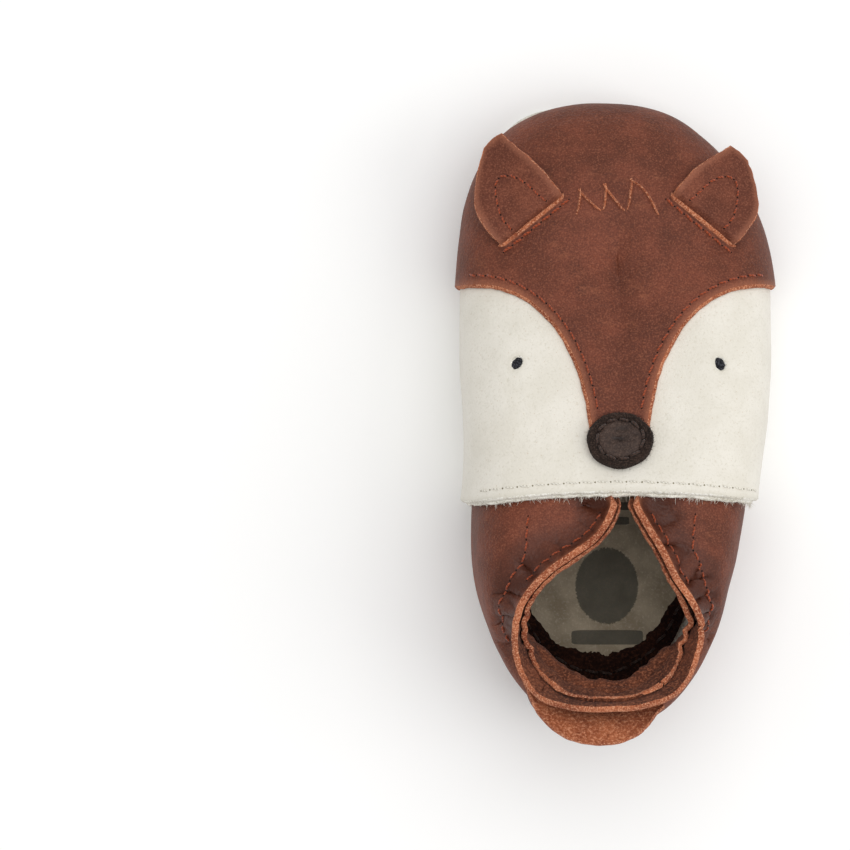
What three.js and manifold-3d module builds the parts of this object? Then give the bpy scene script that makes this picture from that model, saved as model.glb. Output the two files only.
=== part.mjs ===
// Soft-soled leather baby bootie with a fox face, for the right foot.
// Millimetres. +Z is up, +Y points to the toe, +X to the outer side of the foot.
// The origin is the middle of the bounding box, on the surface the sole rests on.
//
// Every upper layer follows one foot form, the last. A layer is the space between the
// last grown by one distance and the last grown by another, trimmed by cutters that
// are drawn in plan, as the pattern pieces are.

import * as THREE from 'three';
import { mergeVertices } from 'three/addons/utils/BufferGeometryUtils.js';
import Module from 'manifold-3d';

const wasm = await Module();
wasm.setup();

// ---- Driving sizes ----------------------------------------------------------------

const TOE_END = 65.8;           // front of the toe, from the instep line
const HEEL_END = 60.4;          // back of the heel wall, from the instep line
const HALF_WIDTH = 31.6;        // half of the ball width over the cheek leather
const WAIST = 1.8;              // how much the sides draw in behind the ball
const TOE_HEIGHT = 29.5;        // top of the toe box over the head leather
const INSTEP_HEIGHT = 43.5;     // top of the instep over the cheek leather
const BELLY = 11;               // height at which the upper is widest
const TUCK = 6;                 // how far the upper turns in under the belly

const LEATHER = 1.0;            // outer leathers
const LINING = 0.9;             // lining and facing leathers
const PATCH = 1.3;              // felted nose patch
const ELASTIC = 0.5;            // collar elastic
const THREAD = 0.35;            // radius of a sewing thread
const GAP = 0.3;                // air between two pieces that touch

const SOLE_THICK = 1.4;
const SOLE_MARGIN = 0.6;        // sole edge shown outside the upper
const INSOLE_THICK = 1.5;
const ALLOWANCE_WIDTH = 5;      // turned-in seam allowance that borders the insole
const ALLOWANCE_THICK = 1.2;

const HEM_BACK = 13.1;          // hem of the vamp at the ridge, behind the instep line
const HEM_SWEEP = 2.8;          // how much further back the hem runs at the sides
const LINING_SHOW = 1.1;        // lining edge shown past the hem
const QUARTER_LAP = 8;          // quarter tucked in under the vamp
const CHEEK_LAP = 7;            // cheek leather tucked in under the head leather
const BROW_BACK = 37.4;         // lower edge of the head leather at the sides, from the toe end

const NOSE_AHEAD = 9.8;         // nose centre in front of the hem
const NOSE_WIDTH = 13.2;
const NOSE_LENGTH = 11;
const EYE_INSET = 11.1;         // eyes, in from the widest line
const EYE_AHEAD = 25.4;         // eyes in front of the hem
const EYE_WIDTH = 2.1;
const EYE_LENGTH = 3.2;
const EYE_TILT = 0.5;           // radians

const EAR_BASE = 16.2;          // length of the slit that an ear comes through
const EAR_HEIGHT = 20.5;
const EAR_INSET = 14.1;         // middle of the slit, in from the widest line
const EAR_BACK = 24.4;          // middle of the slit, back from the toe end
const EAR_YAW = 0.69;           // radians between the slit and the X axis
const EAR_LIFT = 0.2;           // radians that an ear stands off the head leather
const EAR_RISE = 1.7;           // root of the ear over the head leather
const EAR_SLIT = 1.2;           // width of the slit
const EAR_CLEAR = 0.4;          // slit longer than the ear, at each end
const ANCHOR_WIDTH = 4.4;       // strip of an ear sewn under the slit

const TUFT_WIDTH = 17;          // knife-cut hair between the ears
const TUFT_HEIGHT = 6.3;
const TUFT_BACK = 23.7;         // foot of the tuft, back from the toe end
const KNIFE = 0.5;              // width of a knife cut

const COLLAR_INSET = 13.2;      // widest part of the foot opening, in from the widest line
const COLLAR_NECK = 2.7;        // half of the slot where the collar meets the hem
const COLLAR_END = 5;           // collar edge in from the back of the heel
const FACING_LOW = 25;          // lower edge of the facing inside the collar
const ELASTIC_TOP = 1.5;        // elastic below the collar edge
const CASING_FRONT = 4.5;       // casing seam below the collar edge at the hem
const CASING_BACK = 10;         // and round the heel
const CASING_REACH = 22;        // distance over which it changes from one to the other
const COLLAR_STITCH_INSET = 2.4;

const TAB_WIDTH = 24;           // heel tab, behind the collar and above the casing seam
const TAB_TALL = 9;
const TAB_SIDE = 3;             // height of its two ends
const TAB_FLARE = 1.8;          // how far its top leans back
const TAB_SHIFT = -1.5;         // towards the inner side of the foot

const STITCH_INSET = 1.6;       // stitch line in from a cut edge
const HEM_STITCH_INSET = 3;

// ---- Layers, as distances from the last -------------------------------------------

const layer = (inner, thick) => ({ inner, outer: inner + thick });
const FACING_LAYER = layer(0, LINING);
const ELASTIC_LAYER = layer(FACING_LAYER.outer + GAP, ELASTIC);
const QUARTER_LAYER = layer(ELASTIC_LAYER.outer + GAP, LEATHER);
const LINING_LAYER = layer(QUARTER_LAYER.outer + GAP, LINING);
const CHEEK_LAYER = layer(LINING_LAYER.outer + GAP, LEATHER);
const HEAD_LAYER = layer(CHEEK_LAYER.outer + GAP, LEATHER);
const PATCH_LAYER = layer(HEAD_LAYER.outer + GAP, PATCH);
const threadOn = (on) => on.outer + GAP + THREAD;

// ---- The last ---------------------------------------------------------------------

const LAST_TOE = TOE_END - HEAD_LAYER.outer;
const LAST_HEEL = -HEEL_END + QUARTER_LAYER.outer;
const LAST_HALF = HALF_WIDTH - CHEEK_LAYER.outer;
const TOE_START = 22;           // where the sides begin to round into the toe
const HEEL_START = -12;         // and into the heel
const TOE_ROUND = 2.4;          // superellipse exponents of the plan
const HEEL_ROUND = 2.2;
const TOE_SPINE = LAST_TOE - 26;
const HEEL_SPINE = LAST_HEEL + 14;
const TOE_SWING = 2.8;          // toe leans to the inner side of the foot
const HEEL_SWING = 3;
const CROWN_TOE = 2.3;          // superellipse exponents of the cross sections
const CROWN_HEEL = 6;

const clamp = (v) => Math.min(1, Math.max(0, v));
const smooth = (v) => clamp(v) ** 2 * (3 - 2 * clamp(v));

// Middle line of the foot form, bent like a foot.
function middle(y) {
  const toe = clamp((y - TOE_START) / (LAST_TOE - TOE_START));
  return -TOE_SWING * toe ** 2 - HEEL_SWING * smooth((5 - y) / 40);
}

// Half width in plan of the last grown by d: straight sides, superellipse ends.
function halfWidth(y, d) {
  const side = LAST_HALF + d - WAIST * smooth((15 - y) / 32);
  if (y > TOE_START) {
    const t = clamp((y - TOE_START) / (LAST_TOE + d - TOE_START));
    return side * (1 - t ** TOE_ROUND) ** (1 / TOE_ROUND);
  }
  if (y < HEEL_START) {
    const t = clamp((HEEL_START - y) / (HEEL_START - LAST_HEEL + d));
    return side * (1 - t ** HEEL_ROUND) ** (1 / HEEL_ROUND);
  }
  return side;
}

// Height of the ridge: a straight fall from the heel to the toe box.
function ridge(y, d) {
  const toe = TOE_HEIGHT - HEAD_LAYER.outer;
  const instep = INSTEP_HEIGHT - CHEEK_LAYER.outer;
  const slope = (instep - toe) / (TOE_SPINE + HEM_BACK);
  return toe + slope * (TOE_SPINE - y) + d;
}

const crown = (y) => CROWN_HEEL + (CROWN_TOE - CROWN_HEEL) * clamp((y + 40) / 60);

// One spoke of the last at position u round the plan, 0 at the heel and 0.5 at the toe:
// from the spine point (sx, sy) out to the widest point (ox, oy).
function spoke(u, d) {
  const turn = ((u % 1) + 1) % 1;
  const side = turn <= 0.5 ? 1 : -1;
  const along = turn <= 0.5 ? 2 * turn : 2 - 2 * turn;
  const share = (1 - Math.cos(Math.PI * along)) / 2;
  const oy = LAST_HEEL - d + (LAST_TOE - LAST_HEEL + 2 * d) * share;
  const sy = HEEL_SPINE + (TOE_SPINE - HEEL_SPINE) * share;
  const sx = middle(sy);
  const ox = middle(oy) + side * halfWidth(oy, d);
  return { sx, sy, ox, oy, reach: Math.hypot(ox - sx, oy - sy) };
}

// Share of the spoke's reach at height z: an ellipse below the belly, a superellipse above.
function reachAt(s, z, d) {
  if (z < BELLY) {
    const fall = (BELLY - z) / BELLY;
    return 1 - (TUCK / s.reach) * (1 - Math.sqrt(1 - fall * fall));
  }
  const n = crown(s.sy);
  const rise = clamp((z - BELLY) / (ridge(s.sy, d) - BELLY));
  return (1 - rise ** n) ** (1 / n);
}

function wallPoint(u, z, d) {
  const s = spoke(u, d);
  const r = reachAt(s, z, d);
  return new THREE.Vector3(s.sx + r * (s.ox - s.sx), s.sy + r * (s.oy - s.sy), z);
}

// Position round the plan of the spoke that passes over (x, y), by bisection.
function turnOver(x, y, d) {
  const side = x >= middle(y) ? 1 : -1;
  let low = 0;
  let high = 0.5;
  for (let i = 0; i < 40; i += 1) {
    const mid = (low + high) / 2;
    const s = spoke(side * mid, d);
    const past = side * ((x - s.sx) * (s.oy - s.sy) - (y - s.sy) * (s.ox - s.sx));
    if (past > 0) high = mid; else low = mid;
  }
  return side * low;
}

// The point of the grown last straight above (x, y).
function over(x, y, d) {
  const s = spoke(turnOver(x, y, d), d);
  const r = Math.min(0.995, Math.hypot(x - s.sx, y - s.sy) / s.reach);
  const n = crown(s.sy);
  const z = BELLY + (ridge(s.sy, d) - BELLY) * (1 - r ** n) ** (1 / n);
  return new THREE.Vector3(s.sx + r * (s.ox - s.sx), s.sy + r * (s.oy - s.sy), z);
}

// ---- Solids -----------------------------------------------------------------------

function toManifold(geometry) {
  const bare = geometry.clone();
  bare.deleteAttribute('normal');
  bare.deleteAttribute('uv');
  const merged = mergeVertices(bare, 1e-4);
  return new wasm.Manifold(new wasm.Mesh({
    numProp: 3,
    vertProperties: new Float32Array(merged.attributes.position.array),
    triVerts: new Uint32Array(merged.index.array),
  }));
}

function toGeometry(manifold) {
  const mesh = manifold.getMesh();
  const geometry = new THREE.BufferGeometry();
  geometry.setAttribute('position', new THREE.BufferAttribute(mesh.vertProperties, 3));
  geometry.setIndex(new THREE.BufferAttribute(mesh.triVerts, 1));
  geometry.computeVertexNormals();
  return geometry;
}

const AROUND = 52;              // facets round the plan
const UNDER = 3;                // rows below the belly
const ABOVE = 8;                // rows above it

// The whole last grown by d, closed, with a flat underside at z = 0.
function lastSolid(d) {
  const rows = [];
  for (let j = 0; j <= UNDER; j += 1) {
    rows.push(() => [BELLY * (1 - Math.cos((Math.PI / 2) * (j / UNDER))), null]);
  }
  for (let j = 1; j <= ABOVE; j += 1) {
    const angle = (Math.PI / 2) * (j / ABOVE);
    const out = j < ABOVE ? Math.cos(angle) : 0;
    rows.push((s) => {
      const n = crown(s.sy);
      const top = ridge(s.sy, d) - BELLY;
      return [BELLY + top * Math.sin(angle) ** (2 / n), out ** (2 / n)];
    });
  }
  const positions = [];
  const ring = (place) => {
    for (let i = 0; i < AROUND; i += 1) {
      const s = spoke(i / AROUND, d);
      const [z, share] = place(s);
      const r = share === null ? reachAt(s, z, d) : share;
      positions.push(s.sx + r * (s.ox - s.sx), s.sy + r * (s.oy - s.sy), z);
    }
  };
  ring(() => [0, 0]);
  rows.forEach(ring);
  const index = [];
  for (let j = 0; j <= rows.length - 1; j += 1) {
    for (let i = 0; i < AROUND; i += 1) {
      const a = j * AROUND + i;
      const b = j * AROUND + ((i + 1) % AROUND);
      index.push(a, b, b + AROUND, a, b + AROUND, a + AROUND);
    }
  }
  const geometry = new THREE.BufferGeometry();
  geometry.setAttribute('position', new THREE.Float32BufferAttribute(positions, 3));
  geometry.setIndex(index);
  return toManifold(geometry);
}

const shell = ({ inner, outer }) => lastSolid(outer).subtract(lastSolid(inner));

// A straight-sided cutter over a plan outline, from z = low to z = high.
function prism(points, low, high) {
  const shape = new THREE.Shape(points.map((p) => new THREE.Vector2(p.x, p.y)));
  const geometry = new THREE.ExtrudeGeometry(shape, { depth: high - low, bevelEnabled: false });
  geometry.translate(0, 0, low);
  return toManifold(geometry);
}

const SKY = 90;                 // above everything
const FIELD = 60;               // beyond the sides of everything
const UPPER_LOW = SOLE_THICK + GAP;
const point = (x, y) => new THREE.Vector2(x, y);

// A thread: a thin tube along a smooth curve through the given points.
function thread(points, steps) {
  const curve = new THREE.CatmullRomCurve3(points, false, 'centripetal');
  const section = new THREE.Shape();
  section.absarc(0, 0, THREAD, 0, 2 * Math.PI);
  return new THREE.ExtrudeGeometry(section, {
    steps, extrudePath: curve, curveSegments: 3, bevelEnabled: false,
  });
}

// A closed sheet over a grid: place(a, b, k) with a and b from 0 to 1 and k 0 or 1 for
// the two faces.
function sheet(across, along, place) {
  const positions = [];
  const at = (i, j, k) => (k * (along + 1) + j) * (across + 1) + i;
  for (let k = 0; k < 2; k += 1) {
    for (let j = 0; j <= along; j += 1) {
      for (let i = 0; i <= across; i += 1) {
        positions.push(...place(i / across, j / along, k).toArray());
      }
    }
  }
  const index = [];
  const quad = (a, b, c, d) => index.push(a, b, c, a, c, d);
  for (let j = 0; j < along; j += 1) {
    for (let i = 0; i < across; i += 1) {
      quad(at(i, j, 0), at(i, j + 1, 0), at(i + 1, j + 1, 0), at(i + 1, j, 0));
      quad(at(i, j, 1), at(i + 1, j, 1), at(i + 1, j + 1, 1), at(i, j + 1, 1));
    }
  }
  for (let i = 0; i < across; i += 1) {
    quad(at(i, 0, 0), at(i + 1, 0, 0), at(i + 1, 0, 1), at(i, 0, 1));
    quad(at(i, along, 0), at(i, along, 1), at(i + 1, along, 1), at(i + 1, along, 0));
  }
  for (let j = 0; j < along; j += 1) {
    quad(at(0, j, 0), at(0, j, 1), at(0, j + 1, 1), at(0, j + 1, 0));
    quad(at(across, j, 0), at(across, j + 1, 0), at(across, j + 1, 1), at(across, j, 1));
  }
  const geometry = new THREE.BufferGeometry();
  geometry.setAttribute('position', new THREE.Float32BufferAttribute(positions, 3));
  geometry.setIndex(index);
  geometry.computeVertexNormals();
  return geometry;
}

// ---- Pattern outlines in plan -----------------------------------------------------

const FACE_X = middle(0) - 0.1;  // middle line of the face
const HEM_Y = -HEM_BACK;

// Hem across the whole shoe, from the left to the right: a shallow arc.
function hemLine(back) {
  const y = HEM_Y - back;
  const low = y - HEM_SWEEP * (FIELD / HALF_WIDTH) ** 2;
  const arc = new THREE.QuadraticBezierCurve(
    point(-FIELD, low), point(0, 2 * y - low), point(FIELD, low),
  );
  return arc.getPoints(40);
}

const vampArea = (back) => [...hemLine(back), point(FIELD, 100), point(-FIELD, 100)];

// Lower edge of the head leather on one side: level over the cheek, then down the bridge.
const BRIDGE_HALF = 5.5;        // half width of the bridge at the nose
const BROW_Y = TOE_END - BROW_BACK;
function faceEdge(side, up) {
  const nose = HEM_Y + NOSE_AHEAD + 2.3;
  const curve = new THREE.CubicBezierCurve(
    point(FACE_X + side * (LAST_HALF + 3), BROW_Y + up),
    point(FACE_X + side * (LAST_HALF - 11), BROW_Y + up),
    point(FACE_X + side * (BRIDGE_HALF + 1.5), nose + 16 + up),
    point(FACE_X + side * BRIDGE_HALF, nose + up),
  );
  return curve.getPoints(18);
}

function headArea(up) {
  const foot = HEM_Y + NOSE_AHEAD - 2;
  return [
    point(FACE_X - BRIDGE_HALF, foot + up),
    point(FACE_X + BRIDGE_HALF, foot + up),
    ...faceEdge(1, up).reverse(),
    point(FIELD, BROW_Y + up),
    point(FIELD, 100),
    point(-FIELD, 100),
    point(-FIELD, BROW_Y + up),
    ...faceEdge(-1, up),
  ];
}

function oval(x, y, width, length, tilt, count) {
  const curve = new THREE.EllipseCurve(x, y, width / 2, length / 2, 0, 2 * Math.PI, false, tilt);
  return curve.getPoints(count).slice(0, count);
}

// The foot opening: a slot at the hem that widens into a round collar, seen in plan.
const COLLAR_HALF = HALF_WIDTH - COLLAR_INSET;
function collarArea(out) {
  const x = middle(LAST_HEEL / 2);
  const back = LAST_HEEL + COLLAR_END;
  const turns = [
    [x + 3 - COLLAR_NECK, HEM_Y + QUARTER_LAP + 2],
    [x + 3 - COLLAR_NECK, HEM_Y],
    [x - 1.5, HEM_Y - 7.5],
    [x - COLLAR_HALF * 0.62, HEM_Y - 15.2],
    [x - COLLAR_HALF * 0.95, back + 20.5],
    [x - COLLAR_HALF * 0.99, back + 12],
    [x - COLLAR_HALF * 0.74, back + 2.8],
    [x, back],
    [x + COLLAR_HALF * 0.74, back + 2.8],
    [x + COLLAR_HALF * 0.97, back + 12],
    [x + COLLAR_HALF * 0.84, back + 20.5],
    [x + COLLAR_HALF * 0.56, HEM_Y - 15.2],
    [x + 6.6, HEM_Y - 5],
    [x + 3 + COLLAR_NECK, HEM_Y],
    [x + 3 + COLLAR_NECK, HEM_Y + QUARTER_LAP + 2],
  ];
  const curve = new THREE.CatmullRomCurve3(
    turns.map(([a, b]) => new THREE.Vector3(a, b, 0)), false, 'centripetal',
  );
  const count = 48;
  return Array.from({ length: count + 1 }, (_, i) => {
    const p = curve.getPoint(i / count);
    const t = curve.getTangent(i / count);
    return point(p.x + t.y * out, p.y - t.x * out);
  });
}

// ---- The pieces -------------------------------------------------------------------

const shoe = new THREE.Group();

function add(name, geometry, color, roughness, parent = shoe) {
  const material = new THREE.MeshStandardMaterial({ color, roughness, metalness: 0 });
  const mesh = new THREE.Mesh(geometry, material);
  mesh.name = name;
  parent.add(mesh);
  return mesh;
}

const BROWN = 0x70402e;
const DARK_BROWN = 0x5a3424;
const CREAM = 0xe4dfd2;
const NOSE_BROWN = 0x3a2c26;
const ORANGE = 0xa84a1e;
const SUEDE = 0x8c806c;
const CHARCOAL = 0x2a2c30;
const ELASTIC_WHITE = 0xdcd8cc;

// Sole: a flat slab whose outline is the upper's foot plus a margin.
function soleOutline() {
  return Array.from({ length: AROUND }, (_, i) => {
    const u = i / AROUND;
    const front = smooth((spoke(u, 0).oy + 30) / 25);
    const stack = QUARTER_LAYER.outer + (HEAD_LAYER.outer - QUARTER_LAYER.outer) * front;
    return wallPoint(u, UPPER_LOW, stack + SOLE_MARGIN);
  });
}
add('outsole', toGeometry(prism(soleOutline(), 0, SOLE_THICK)), CREAM, 0.9);

const INSOLE_LOW = SOLE_THICK + GAP;
const INSOLE_HIGH = INSOLE_LOW + INSOLE_THICK;
const slab = (low, high) => prism(
  [point(-FIELD, -100), point(FIELD, -100), point(FIELD, 100), point(-FIELD, 100)], low, high,
);
add('insole', toGeometry(
  lastSolid(-GAP).intersect(slab(INSOLE_LOW, INSOLE_HIGH)),
), SUEDE, 0.95);

const ALLOWANCE_LOW = INSOLE_HIGH + GAP;
const ALLOWANCE_HIGH = ALLOWANCE_LOW + ALLOWANCE_THICK;
add('seam_allowance', toGeometry(
  shell({ inner: -ALLOWANCE_WIDTH, outer: -GAP }).intersect(slab(ALLOWANCE_LOW, ALLOWANCE_HIGH)),
), DARK_BROWN, 0.95);

const soleSeam = Array.from({ length: 61 }, (_, i) => (
  wallPoint(0.008 + 0.984 * (i / 60), ALLOWANCE_HIGH + GAP + THREAD, -ALLOWANCE_WIDTH / 2)
));
add('sole_stitching', thread(soleSeam, 72), CREAM, 0.8);

// Quarter: one leather from the inner side round the heel to the outer side.
const quarterArea = [
  point(-FIELD, HEM_Y + QUARTER_LAP), point(-FIELD, -100),
  point(FIELD, -100), point(FIELD, HEM_Y + QUARTER_LAP),
];
add('quarter', toGeometry(
  shell(QUARTER_LAYER)
    .intersect(prism(quarterArea, UPPER_LOW, SKY))
    .subtract(prism(collarArea(1), -1, SKY)),
), BROWN, 0.6);

add('collar_facing', toGeometry(
  shell(FACING_LAYER)
    .intersect(prism(quarterArea, FACING_LOW, SKY))
    .subtract(prism(collarArea(0), -1, SKY)),
), BROWN, 0.9);

// What follows the collar hangs below its edge: a little at the hem, more round the heel.
const collarRun = collarArea(LEATHER).filter((p) => p.y < HEM_Y - HEM_SWEEP - LINING_SHOW);
function belowCollar(p, front, back, d) {
  const share = smooth((HEM_Y - p.y) / CASING_REACH);
  const edge = over(p.x, p.y, QUARTER_LAYER.outer);
  const turn = turnOver(p.x, p.y, QUARTER_LAYER.outer);
  return wallPoint(turn, edge.z - front - (back - front) * share, d);
}

// The elastic fills the casing from just below the edge to just above the seam.
const lastRun = collarRun.length - 1;
const elasticBand = sheet(lastRun, 3, (a, b, k) => {
  const p = collarRun[lastRun - Math.round(a * lastRun)];
  const front = ELASTIC_TOP + (CASING_FRONT - 1 - ELASTIC_TOP) * b;
  const back = ELASTIC_TOP + (CASING_BACK - 1 - ELASTIC_TOP) * b;
  return belowCollar(p, front, back, k ? QUARTER_LAYER.outer : -QUARTER_LAYER.outer);
});
add('collar_elastic', toGeometry(
  shell(ELASTIC_LAYER).intersect(toManifold(elasticBand)),
), ELASTIC_WHITE, 0.8);

// Ears: each flap comes up through a straight slit in the head leather.
function earFrame(side) {
  const x = side * (HALF_WIDTH - EAR_INSET) + FACE_X;
  const y = TOE_END - EAR_BACK;
  const run = point(Math.cos(EAR_YAW), -side * Math.sin(EAR_YAW));
  const half = EAR_BASE / 2;
  const d = HEAD_LAYER.outer;
  const start = over(x - run.x * half, y - run.y * half, d);
  const end = over(x + run.x * half, y + run.y * half, d);
  const along = end.clone().sub(start).normalize();
  const root = start.clone().add(end).multiplyScalar(0.5);
  const ahead = over(x - run.y * EAR_HEIGHT * 0.4, y + run.x * EAR_HEIGHT * 0.4, d);
  const out = ahead.sub(over(x, y, d));
  out.addScaledVector(along, -out.dot(along)).normalize();
  const up = along.clone().cross(out);
  root.addScaledVector(up, EAR_RISE);
  const lifted = out.clone().applyAxisAngle(along, EAR_LIFT);
  const face = along.clone().cross(lifted);
  return { x, y, run, root, along, out: lifted, face };
}

// A strip beside the slit, in plan: from low to high across it, half each way along it.
function earStrip(side, low, high, half) {
  const { x, y, run } = earFrame(side);
  return [[-half, low], [half, low], [half, high], [-half, high]].map(([a, b]) => (
    point(x + run.x * a - run.y * b, y + run.y * a + run.x * b)
  ));
}

// Vamp: lining, cream cheek leather and brown head leather.
add('vamp_lining', toGeometry(
  shell(LINING_LAYER).intersect(prism(vampArea(LINING_SHOW), UPPER_LOW, SKY)),
), CREAM, 0.9);

const ANCHOR_HALF = EAR_BASE / 2 - EAR_CLEAR;
const earPocket = (side) => earStrip(side, -ANCHOR_WIDTH - GAP, 1, ANCHOR_HALF + GAP);
const EYE_Y = HEM_Y + EYE_AHEAD;
const eyeAt = (side) => point(FACE_X + side * (HALF_WIDTH - EYE_INSET), EYE_Y);
const eyeArea = (side, grow) => {
  const at = eyeAt(side);
  return oval(at.x, at.y, EYE_WIDTH + grow, EYE_LENGTH + grow, side * EYE_TILT, 12);
};
add('cheek_leather', toGeometry(
  shell(CHEEK_LAYER)
    .intersect(prism(vampArea(0), UPPER_LOW, SKY))
    .subtract(prism(headArea(CHEEK_LAP), -1, SKY))
    .subtract(prism(earPocket(-1), -1, SKY))
    .subtract(prism(earPocket(1), -1, SKY))
    .subtract(prism(eyeArea(-1, 0), -1, SKY))
    .subtract(prism(eyeArea(1, 0), -1, SKY)),
), CREAM, 0.85);

for (const [name, side] of [['eye_left', -1], ['eye_right', 1]]) {
  add(name, toGeometry(
    shell({ inner: CHEEK_LAYER.inner, outer: CHEEK_LAYER.inner + LEATHER / 2 })
      .intersect(prism(eyeArea(side, -2 * GAP), BELLY, SKY)),
  ), CHARCOAL, 0.7);
}

// Ears.
function earOutline(side) {
  const half = EAR_BASE / 2 - EAR_CLEAR;
  const shape = new THREE.Shape();
  const a = (v) => -side * v;
  shape.moveTo(a(half), 0);
  shape.bezierCurveTo(
    a(half - 0.5), EAR_HEIGHT * 0.35, a(half - 1), EAR_HEIGHT * 0.75, a(3.6), EAR_HEIGHT,
  );
  shape.bezierCurveTo(
    a(-3), EAR_HEIGHT * 0.95, a(-half - 1.6), EAR_HEIGHT * 0.4, a(-half), 0,
  );
  shape.closePath();
  return shape;
}

for (const [word, side] of [['left', -1], ['right', 1]]) {
  const f = earFrame(side);
  const flap = new THREE.Group();
  flap.matrix.makeBasis(f.along, f.out, f.face).setPosition(f.root);
  flap.matrix.decompose(flap.position, flap.quaternion, flap.scale);
  shoe.add(flap);
  const body = new THREE.ExtrudeGeometry(earOutline(side), {
    depth: LEATHER, bevelEnabled: false, curveSegments: 8,
  });
  body.translate(0, 0, -LEATHER / 2);
  add(`ear_${word}`, body, BROWN, 0.65, flap);

  const lift = LEATHER / 2 + GAP + THREAD;
  const arch = [[-5.2, 1.2], [-4.9, 5.4], [-1.6, 9.8], [3, 11.2], [5.2, 9.6], [5.8, 5.4], [5.9, 1.2]];
  add(`ear_stitching_${word}`, thread(
    arch.map(([a, b]) => new THREE.Vector3(-side * a, b, lift)), 26,
  ), ORANGE, 0.7, flap);

  // Strip of the flap sewn under the lower lip of the slit, and the seam that holds it.
  add(`ear_anchor_${word}`, toGeometry(
    shell(CHEEK_LAYER).intersect(
      prism(earStrip(side, -ANCHOR_WIDTH, -EAR_SLIT / 2, ANCHOR_HALF), 0, SKY),
    ),
  ), BROWN, 0.9);
  const seam = Array.from({ length: 9 }, (_, i) => {
    const a = EAR_BASE * (i / 8 - 0.5);
    const b = -EAR_SLIT / 2 - STITCH_INSET;
    return over(
      f.x + f.run.x * a - f.run.y * b, f.y + f.run.y * a + f.run.x * b, threadOn(HEAD_LAYER),
    );
  });
  add(`ear_base_stitching_${word}`, thread(seam, 16), ORANGE, 0.7);
}

// Head leather, with the two slits and the knife-cut tuft of hair.
function tuftCut() {
  const left = FACE_X - TUFT_WIDTH / 2;
  const foot = TOE_END - TUFT_BACK;
  const low = foot + 1;
  const high = foot + TUFT_HEIGHT;
  const step = TUFT_WIDTH / 6;
  const line = [
    point(left, foot), point(left + step * 0.3, high - 1), point(left + step * 1.9, low),
    point(left + step * 2.1, high), point(left + step * 3.6, low),
    point(left + step * 3.9, high + 1), point(left + step * 5.2, high - 1.6),
    point(left + TUFT_WIDTH, foot),
  ];
  const cuts = line.slice(1).map((end, i) => {
    const along = end.clone().sub(line[i]).setLength(KNIFE / 2);
    const from = line[i].clone().sub(along);
    const to = end.clone().add(along);
    const across = point(-along.y, along.x);
    return prism([
      from.clone().add(across), from.clone().sub(across),
      to.clone().sub(across), to.clone().add(across),
    ], -1, SKY);
  });
  return cuts.reduce((whole, cut) => whole.add(cut));
}
const earSlit = (side) => prism(
  earStrip(side, -EAR_SLIT / 2, EAR_SLIT / 2, EAR_BASE / 2 + EAR_CLEAR), -1, SKY,
);
add('head_leather', toGeometry(
  shell(HEAD_LAYER)
    .intersect(prism(headArea(0), UPPER_LOW, SKY))
    .subtract(earSlit(-1))
    .subtract(earSlit(1))
    .subtract(tuftCut()),
), BROWN, 0.65);

// Nose patch and its seam.
const NOSE_Y = HEM_Y + NOSE_AHEAD;
add('nose_patch', toGeometry(
  shell(PATCH_LAYER).intersect(prism(oval(FACE_X, NOSE_Y, NOSE_WIDTH, NOSE_LENGTH, 0, 28), 0, SKY)),
), NOSE_BROWN, 0.9);
const noseSeam = oval(
  FACE_X, NOSE_Y, NOSE_WIDTH - 2 * STITCH_INSET, NOSE_LENGTH - 2 * STITCH_INSET, 0.05, 25,
).map((p) => over(p.x, p.y, threadOn(PATCH_LAYER)));
add('nose_stitching', thread(noseSeam, 30), NOSE_BROWN, 0.8);

// Seams along the face edge, the hem, the casing and the collar edge.
for (const [word, side] of [['left', -1], ['right', 1]]) {
  const line = faceEdge(side, STITCH_INSET)
    .map((p) => point(p.x - side * STITCH_INSET * clamp((BROW_Y - p.y) / 14), p.y))
    .filter((p) => p.y > NOSE_Y + NOSE_LENGTH / 2 + 1);
  add(`face_stitching_${word}`, thread(
    line.map((p) => over(p.x, p.y, threadOn(HEAD_LAYER))), 34,
  ), ORANGE, 0.7);
}

const hemSeam = hemLine(-HEM_STITCH_INSET)
  .filter((p) => Math.abs(p.x - FACE_X) < HALF_WIDTH - WAIST - 2.5)
  .map((p) => over(p.x, p.y, threadOn(CHEEK_LAYER)));
add('hem_stitching', thread(hemSeam, 36), CREAM, 0.8);

// The casing seam keeps below the collar edge, all the way round the heel.
const casingLine = collarRun.map((p) => (
  belowCollar(p, CASING_FRONT, CASING_BACK, threadOn(QUARTER_LAYER))
));
add('casing_stitching', thread(casingLine, 56), ORANGE, 0.7);

const collarSeam = collarArea(1 + COLLAR_STITCH_INSET)
  .filter((p) => p.y < HEM_Y - 2 * LINING_SHOW)
  .map((p) => over(p.x, p.y, threadOn(QUARTER_LAYER)));
add('collar_stitching', thread(collarSeam, 64), ORANGE, 0.7);

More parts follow.
